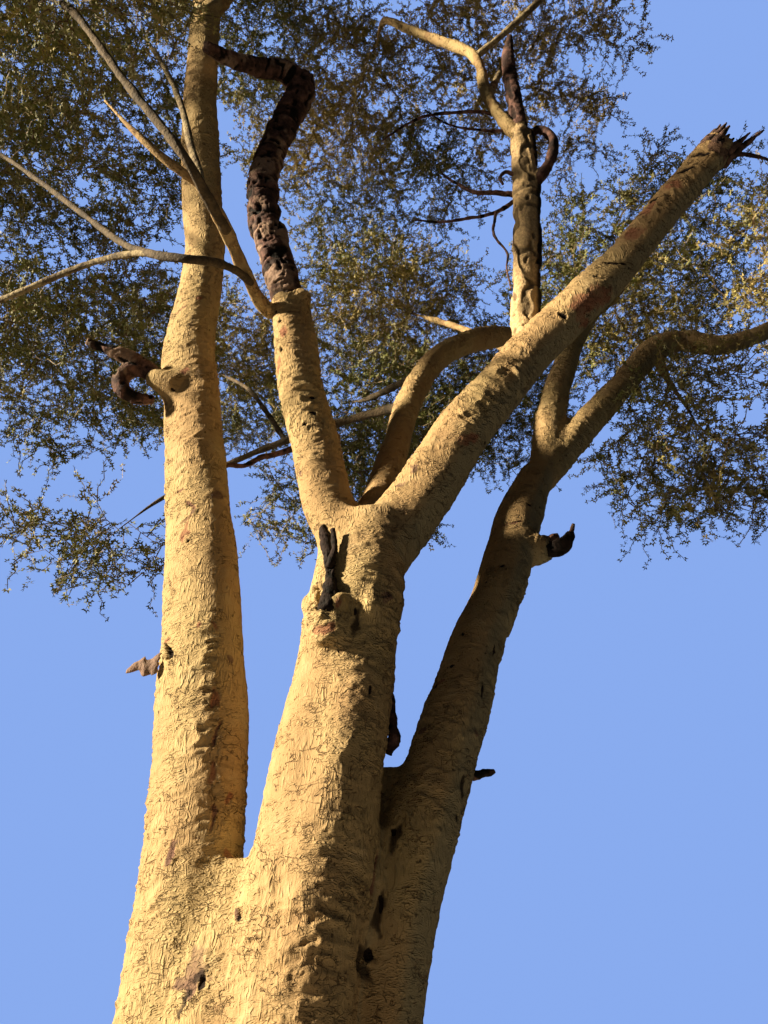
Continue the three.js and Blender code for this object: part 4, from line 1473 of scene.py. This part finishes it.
# Materials
class Look:
    """A material and the short ways to build its nodes. Textures lie in the object's own space."""

    def __init__(self, name, roughness=0.85, specular=0.5):
        self.material = bpy.data.materials.new(name)
        self.material.use_nodes = True
        self.nodes = self.material.node_tree.nodes
        self.links = self.material.node_tree.links
        self.shader = self.nodes["Principled BSDF"]
        self.shader.inputs["Roughness"].default_value = roughness
        self.shader.inputs["Specular IOR Level"].default_value = specular

    def node(self, kind, inputs, **settings):
        """A node with its inputs linked to sockets or set to plain numbers and colours."""
        node = self.nodes.new(kind)
        for name, value in settings.items():
            setattr(node, name, value)
        for name, value in inputs.items():
            if isinstance(value, bpy.types.NodeSocket):
                self.links.new(value, node.inputs[name])
            else:
                node.inputs[name].default_value = value
        return node

    def mixed(self, share, first, second):
        ends = [(*end, 1) if isinstance(end, tuple) else end for end in (first, second)]
        mix = self.node("ShaderNodeMix", {}, data_type="RGBA")
        for socket, value in zip((0, 6, 7), (share, *ends)):
            if isinstance(value, bpy.types.NodeSocket):
                self.links.new(value, mix.inputs[socket])
            else:
                mix.inputs[socket].default_value = value
        return mix.outputs[2]

    def stepped(self, value, low, high, to_low=0.0, to_high=1.0):
        step = {0: value, 1: low, 2: high, 3: to_low, 4: to_high}
        return self.node("ShaderNodeMapRange", step, interpolation_type="SMOOTHSTEP").outputs[0]

    def product(self, first, second):
        return self.node("ShaderNodeMath", {0: first, 1: second}, operation="MULTIPLY").outputs[0]

    def maximum(self, first, second):
        return self.node("ShaderNodeMath", {0: first, 1: second}, operation="MAXIMUM").outputs[0]

    def band(self, value, half):
        """One where the value passes a half, nought a little off it."""
        return self.product(self.stepped(value, 0.5 - half, 0.5), self.stepped(value, 0.5, 0.5 + half, 1, 0))

    def attribute(self, name):
        return self.node("ShaderNodeAttribute", {}, attribute_name=name).outputs["Fac"]

    def texture(self, kind, stretch, inputs, **settings):
        """A texture stretched by different scales along the axes."""
        place = self.node("ShaderNodeTexCoord", {}).outputs["Object"]
        mapping = self.node("ShaderNodeMapping", {"Vector": place, "Scale": stretch})
        return self.node(kind, {"Vector": mapping.outputs[0], **inputs}, **settings).outputs[0]

    def noise(self, stretch, detail, scale=1.0, roughness=0.5, distortion=0.0, **settings):
        inputs = {"Scale": scale, "Detail": detail, "Roughness": roughness, "Distortion": distortion}
        return self.texture("ShaderNodeTexNoise", stretch, inputs, **settings)

    def bumps(self, *layers):
        """Bumps of the given heights and distances, each on top of those before."""
        normal = None
        for height, distance in layers:
            inputs = {"Strength": 1.0, "Distance": distance, "Height": height}
            if normal is not None:
                inputs["Normal"] = normal
            normal = self.node("ShaderNodeBump", inputs).outputs[0]
        self.links.new(normal, self.shader.inputs["Normal"])

    def coloured(self, colour):
        self.links.new(colour, self.shader.inputs["Base Color"])


def bark_material():
    """Cream bark with tan, green and pale patches, wrinkles and creases, and the marks laid on it. Painted
    shade darkens the low parts of the crinkles, the creases, the hollows, cracks and holes, and paints olive
    grey on the side turned from the sun.
    """
    look = Look("bark", specular=0.2)
    broad = look.noise(BROAD_WAVES, 3)
    patchy = look.noise(EVEN, 5, 7, 0.65)
    warm = look.noise(WARM_WAVES, 4, 3.1, 0.6)
    crinkles = look.noise(CRINKLE_WAVES, 3, distortion=1.6, noise_type="RIDGED_MULTIFRACTAL")
    streaks = look.noise(STREAK_WAVES, 3, distortion=1.2, noise_type="RIDGED_MULTIFRACTAL")
    wrinkles = look.mixed(look.stepped(warm, 0.44, 0.54), crinkles, streaks)
    grain = look.noise(GRAIN_WAVES, 3, roughness=0.6)
    level = look.band(look.noise(LEVEL_CREASES, 3, distortion=0.9), 0.024)
    upright = look.band(look.noise(UPRIGHT_CREASES, 2, distortion=0.7), 0.016)
    creases = look.product(look.maximum(level, upright), look.stepped(patchy, 0.47, 0.60))
    pits = look.texture("ShaderNodeTexVoronoi", PIT_WAVES, {"Scale": 8.0})
    uneven = look.stepped(patchy, 0.3, 0.55, 0.5, 1.0)
    layers = [
        (look.stepped(broad, 0.40, 0.62, 0.62, 0.05), BARK_TAN),
        (look.stepped(patchy, 0.30, 0.46, 0.5, 0), BARK_PALE),
        # painted shade: olive grey on the sides turned from the sun
        (look.attribute("olive"), PAINTED_SHADE_OLIVE),
        # painted shade: darker in the low parts of the crinkles, in the creases and in the hollows and
        # cracks of the mesh
        (look.stepped(wrinkles, 0.15, 0.75, 0.34, 0), BARK_HOLLOW_SHADE),
        (look.stepped(creases, 0, 1, 0, 0.42), BARK_HOLLOW_SHADE),
        (look.stepped(look.attribute("furrow"), 0.3, 0.95, 0, 0.5), BARK_HOLLOW_SHADE),
        (look.product(look.stepped(look.attribute("flush"), 0.1, 1.0, 0, 0.85), uneven), FLUSH_RED),
        (look.product(look.stepped(look.attribute("scar"), 0.1, 0.8, 0, 0.9), uneven), SCAR_PURPLE),
        # painted shade: black dots for small pits, then black in the holes, stains included
        (look.stepped(pits, 0.03, 0.07, 0.75, 0), SHADE_AND_STAIN_BLACK),
        (look.stepped(look.attribute("hole"), 0.25, 0.7), SHADE_AND_STAIN_BLACK),
    ]
    colour = look.mixed(look.stepped(broad, 0.45, 0.7, 0, 0.8), BARK_CREAM, BARK_GREEN)
    for share, paint in layers:
        colour = look.mixed(share, colour, paint)
    look.coloured(colour)
    crumbly = look.product(wrinkles, look.stepped(broad, 0.35, 0.6, 0.45, 1))
    sunk = look.stepped(creases, 0, 1, 1, 0)
    look.bumps((crumbly, CRUMPLE_BUMP), (sunk, CREASE_BUMP), (grain, GRAIN_BUMP))
    return look.material


def limb_material(name, first, second):
    """Bark of the thinner limbs, mottled from two colours."""
    look = Look(name)
    patchy = look.noise(EVEN, 5, 9, 0.65)
    fine = look.noise(EVEN, 4, 45, 0.6)
    colour = look.mixed(look.stepped(patchy, 0.42, 0.62), first, second)
    look.coloured(look.mixed(look.stepped(fine, 0.48, 0.64, 0, 0.7), colour, LIMB_DARK))
    look.bumps((fine, LIMB_BUMP))
    return look.material


def dead_material(name, pale_colour):
    """Dry wood, dark red and brown, pale where the mesh says so and black where it says so: painted shade in
    its holes, cracks and grooves and on the snag's side away from the light, and the real black of charred
    wood.
    """
    look = Look(name, specular=0.25)
    patchy = look.noise(EVEN, 5, 11, 0.65)
    grain = look.noise(DEAD_GRAIN_WAVES, 4, roughness=0.6)
    colour = look.mixed(look.stepped(patchy, 0.4, 0.65), DEAD_DARK, DEAD_RED)
    bleached = look.mixed(look.stepped(grain, 0.40, 0.62, 1.0, 0.6), DEAD_RED, pale_colour)
    colour = look.mixed(look.attribute("pale"), colour, bleached)
    # Black layer: painted shade in holes, cracks, grooves and on the snag's back, and char on charred wood
    look.coloured(look.mixed(look.attribute("hole"), colour, DEAD_BLACK))
    look.bumps((grain, DEAD_BUMP))
    return look.material


def twig_material():
    look = Look("twig", roughness=0.8)
    look.coloured(look.mixed(look.stepped(look.noise(EVEN, 3, 3), 0.4, 0.6), TWIG_KHAKI, TWIG_BROWN))
    return look.material


def plain_material(name, colour, roughness, specular):
    look = Look(name, roughness, specular)
    look.shader.inputs["Base Color"].default_value = (*colour, 1)
    return look.material


def dress(piece, material):
    piece.data.materials.clear()
    piece.data.materials.append(material)
    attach(piece, "root")


# Camera, light and floor
def build_camera():
    camera = bpy.data.cameras.new("camera")
    camera.sensor_width = SENSOR
    camera.lens = FOCAL_PIXELS * SENSOR / PHOTO_HEIGHT
    holder = bpy.data.objects.new("camera", camera)
    holder.location = EYE
    holder.rotation_euler = (np.pi / 2 + PITCH, 0, 0)
    bpy.context.scene.collection.objects.link(holder)
    bpy.context.scene.camera = holder


def build_light():
    sun = bpy.data.lights.new("sun", "SUN")
    sun.energy = SUN_STRENGTH
    sun.color = SUN_COLOUR
    sun.angle = np.radians(SUN_SOFTNESS)
    holder = bpy.data.objects.new("sun", sun)
    holder.rotation_euler = Vector(SUN_FROM).to_track_quat("Z", "Y").to_euler()
    bpy.context.scene.collection.objects.link(holder)
    world = bpy.data.worlds.new("world")
    world.use_nodes = True
    nodes = world.node_tree.nodes
    links = world.node_tree.links
    fill = nodes["Background"]
    fill.inputs["Color"].default_value = (*FILL_COLOUR, 1)
    fill.inputs["Strength"].default_value = FILL_STRENGTH
    backdrop = nodes.new("ShaderNodeBackground")
    backdrop.inputs["Color"].default_value = (*BACKDROP_COLOUR, 1)
    seen = nodes.new("ShaderNodeLightPath")
    either = nodes.new("ShaderNodeMixShader")
    links.new(seen.outputs["Is Camera Ray"], either.inputs[0])
    links.new(fill.outputs[0], either.inputs[1])
    links.new(backdrop.outputs[0], either.inputs[2])
    links.new(either.outputs[0], nodes["World Output"].inputs["Surface"])
    bpy.context.scene.world = world
    bpy.context.scene.view_settings.view_transform = "Standard"


def build_floor():
    half = FLOOR_SIZE / 2
    places = [(-half, -half, 0), (half, -half, 0), (half, half, 0), (-half, half, 0)]
    floor = make_mesh("floor", np.array(places), [(0, 1, 2, 3)])
    floor.data.materials.append(plain_material("floor", FLOOR_COLOUR, *FLOOR_SHEEN))


def grow_mass(mass, limbs, twig_parts, rng):
    """Grows a mass's twigs from the limbs that feed it, adds them by kind, and gives their sprays."""
    low, high = (np.array(corner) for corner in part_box(mass))
    count = int(np.prod(high - low) * BOX_SHARE * FILL * THICKNESS.get(mass, 1))
    goals = points_in(mass, count, rng)
    seeds = []
    for name in FEEDS[mass]:
        limb = limbs[name]
        later = limb.far > limb.far[-1] * FEED_FROM
        seeds.append(limb.middle[later][::SEED_EVERY])
        seeds.append(limb.middle[-1:])
    seeds = np.vstack(seeds)
    limit = FIRST_TWIG * limbs[FEEDS[mass][0]].radius[-4]
    places, parents, own = grow(seeds, goals, rng)
    radii = twig_radii(parents, limit)
    number = np.arange(own, len(places))
    parent = parents[number]
    heading = np.zeros_like(places)
    heading[number] = unit(places[number] - places[parent])
    heaviest = {}
    for child in number:
        if radii[child] > radii[heaviest.get(parents[child], child)] or parents[child] not in heaviest:
            heaviest[parents[child]] = child
    main = np.array([heaviest[parents[child]] == child and parents[child] >= own for child in number])
    start_heading = np.where(main[:, None], heading[parent], heading[number])
    start_radius = np.where(main, radii[parent], np.minimum(radii[number] * SIDE_TWIG, radii[parent]))
    leafless = ~np.isin(number, parents)
    thick = radii[number] > THICK
    for kind, chosen, sides in (("thick", thick, THICK_SIDES), ("thin", ~thick, THIN_SIDES)):
        for tip in (False, True):
            these = chosen & (leafless == tip)
            if these.any():
                twig_parts[kind].append(rods(
                    places[parent[these]], places[number[these]], start_heading[these],
                    heading[number[these]], start_radius[these], radii[number[these]], sides, tip,
                ))
    bearing = number[radii[number] < LEAFY]
    return sprays(places[bearing], heading[bearing], rng)


def build_foliage(limbs):
    """The twigs and leaves of every mass, joined by kind and, for the leaves, by tint."""
    rng = np.random.default_rng(SEED)
    masses = sorted(FEEDS)
    twig_parts = {"thick": [], "thin": []}
    spray_rows = []
    dryness = []
    for mass in masses:
        spray_rows.append(grow_mass(mass, limbs, twig_parts, rng))
        dryness.append(np.full(len(spray_rows[-1]), DRYNESS.get(mass, 0)))
    lines = np.vstack(spray_rows)
    dry = np.concatenate(dryness)
    inside = ((lines > np.array(cad_box[0])) & (lines < np.array(cad_box[1]))).all((1, 2))
    lines = lines[inside]
    half = len(lines) // 2
    twig_parts["sprays_a"] = [ribbons(lines[:half], rng)]
    twig_parts["sprays_b"] = [ribbons(lines[half:], rng)]
    twig = twig_material()
    for kind, parts in twig_parts.items():
        places, triangles = joined(parts)
        piece = make_mesh("twigs_" + kind, places, triangles)
        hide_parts(*masses)
        dress(piece, twig)
    feet, headings, uppers, lengths, owner = tufts_on(lines, rng)
    clump = noise(lines[:, 0] * 0.8, TINT_SEED) + 0.6 * rng.normal(0, 0.5, len(lines)) + dry[inside]
    tint_of = np.digitize(clump, np.quantile(clump, TINT_SHARES))
    for number, (name, colour) in enumerate(LEAF_TINTS.items()):
        chosen = tint_of[owner] == number
        piece = leaf_mesh("leaves_" + name, feet[chosen], headings[chosen], uppers[chosen], lengths[chosen])
        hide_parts(*masses)
        dress(piece, plain_material("leaf_" + name, colour, *LEAF_SHEEN))


def main():
    build_camera()
    build_light()
    build_floor()
    bark = bark_material()
    dead = dead_material("dead_wood", DEAD_PALE)
    bleached = dead_material("bleached_wood", SNAG_PALE)
    limb_kinds = {
        # darker limb bark, painted as the shade of the crown over these limbs
        True: limb_material("limb_dark", LIMB_BROWN, LIMB_DARK),
        False: limb_material("limb_pale", LIMB_PALE, LIMB_BROWN),
    }
    core, label = build_bark()
    for name, piece in split(core, label, "bark_", ["furrow", "hole", "scar", "flush", "olive"]).items():
        if name == "trunk_low":
            cut_at_ground(piece)
        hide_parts(name.replace("_low", "").replace("_high", ""))
        dress(piece, bark)
    for number, (name, parts) in enumerate(DEAD_GROUPS.items()):
        piece = build_dead(name, parts, DEAD_SEED + DEAD_SEED_STEP * number)
        dress(piece, bleached if name == "dead_snag" else dead)
    for group, twigs in TWIGS_BY_GROUP.items():
        for number, name in enumerate(twigs):
            piece = build_dead_twig(name, DEAD_GROUPS[group][0], DEAD_TWIG_SEED + number)
            dress(piece, dead)
    for number, (name, node) in enumerate(LOOSE_TWIGS.items()):
        dress(build_dead_twig(name, node, LOOSE_TWIG_SEED + number), dead)
    build_splinters(dead)
    dress(build_flap(), dead)
    limbs = {name: Limb(name, stations) for name, stations in BOUGHS.items()}
    for number, (name, stations) in enumerate(CROWN_LIMBS.items()):
        piece, limb = crown_limb(name, stations, LIMB_SEED + number)
        limbs[name] = limb
        dress(piece, bark if stations[0][3] > LARGE_LIMB else limb_kinds[name in CROWN_SHADE_LIMBS])
    build_foliage(limbs)


main()
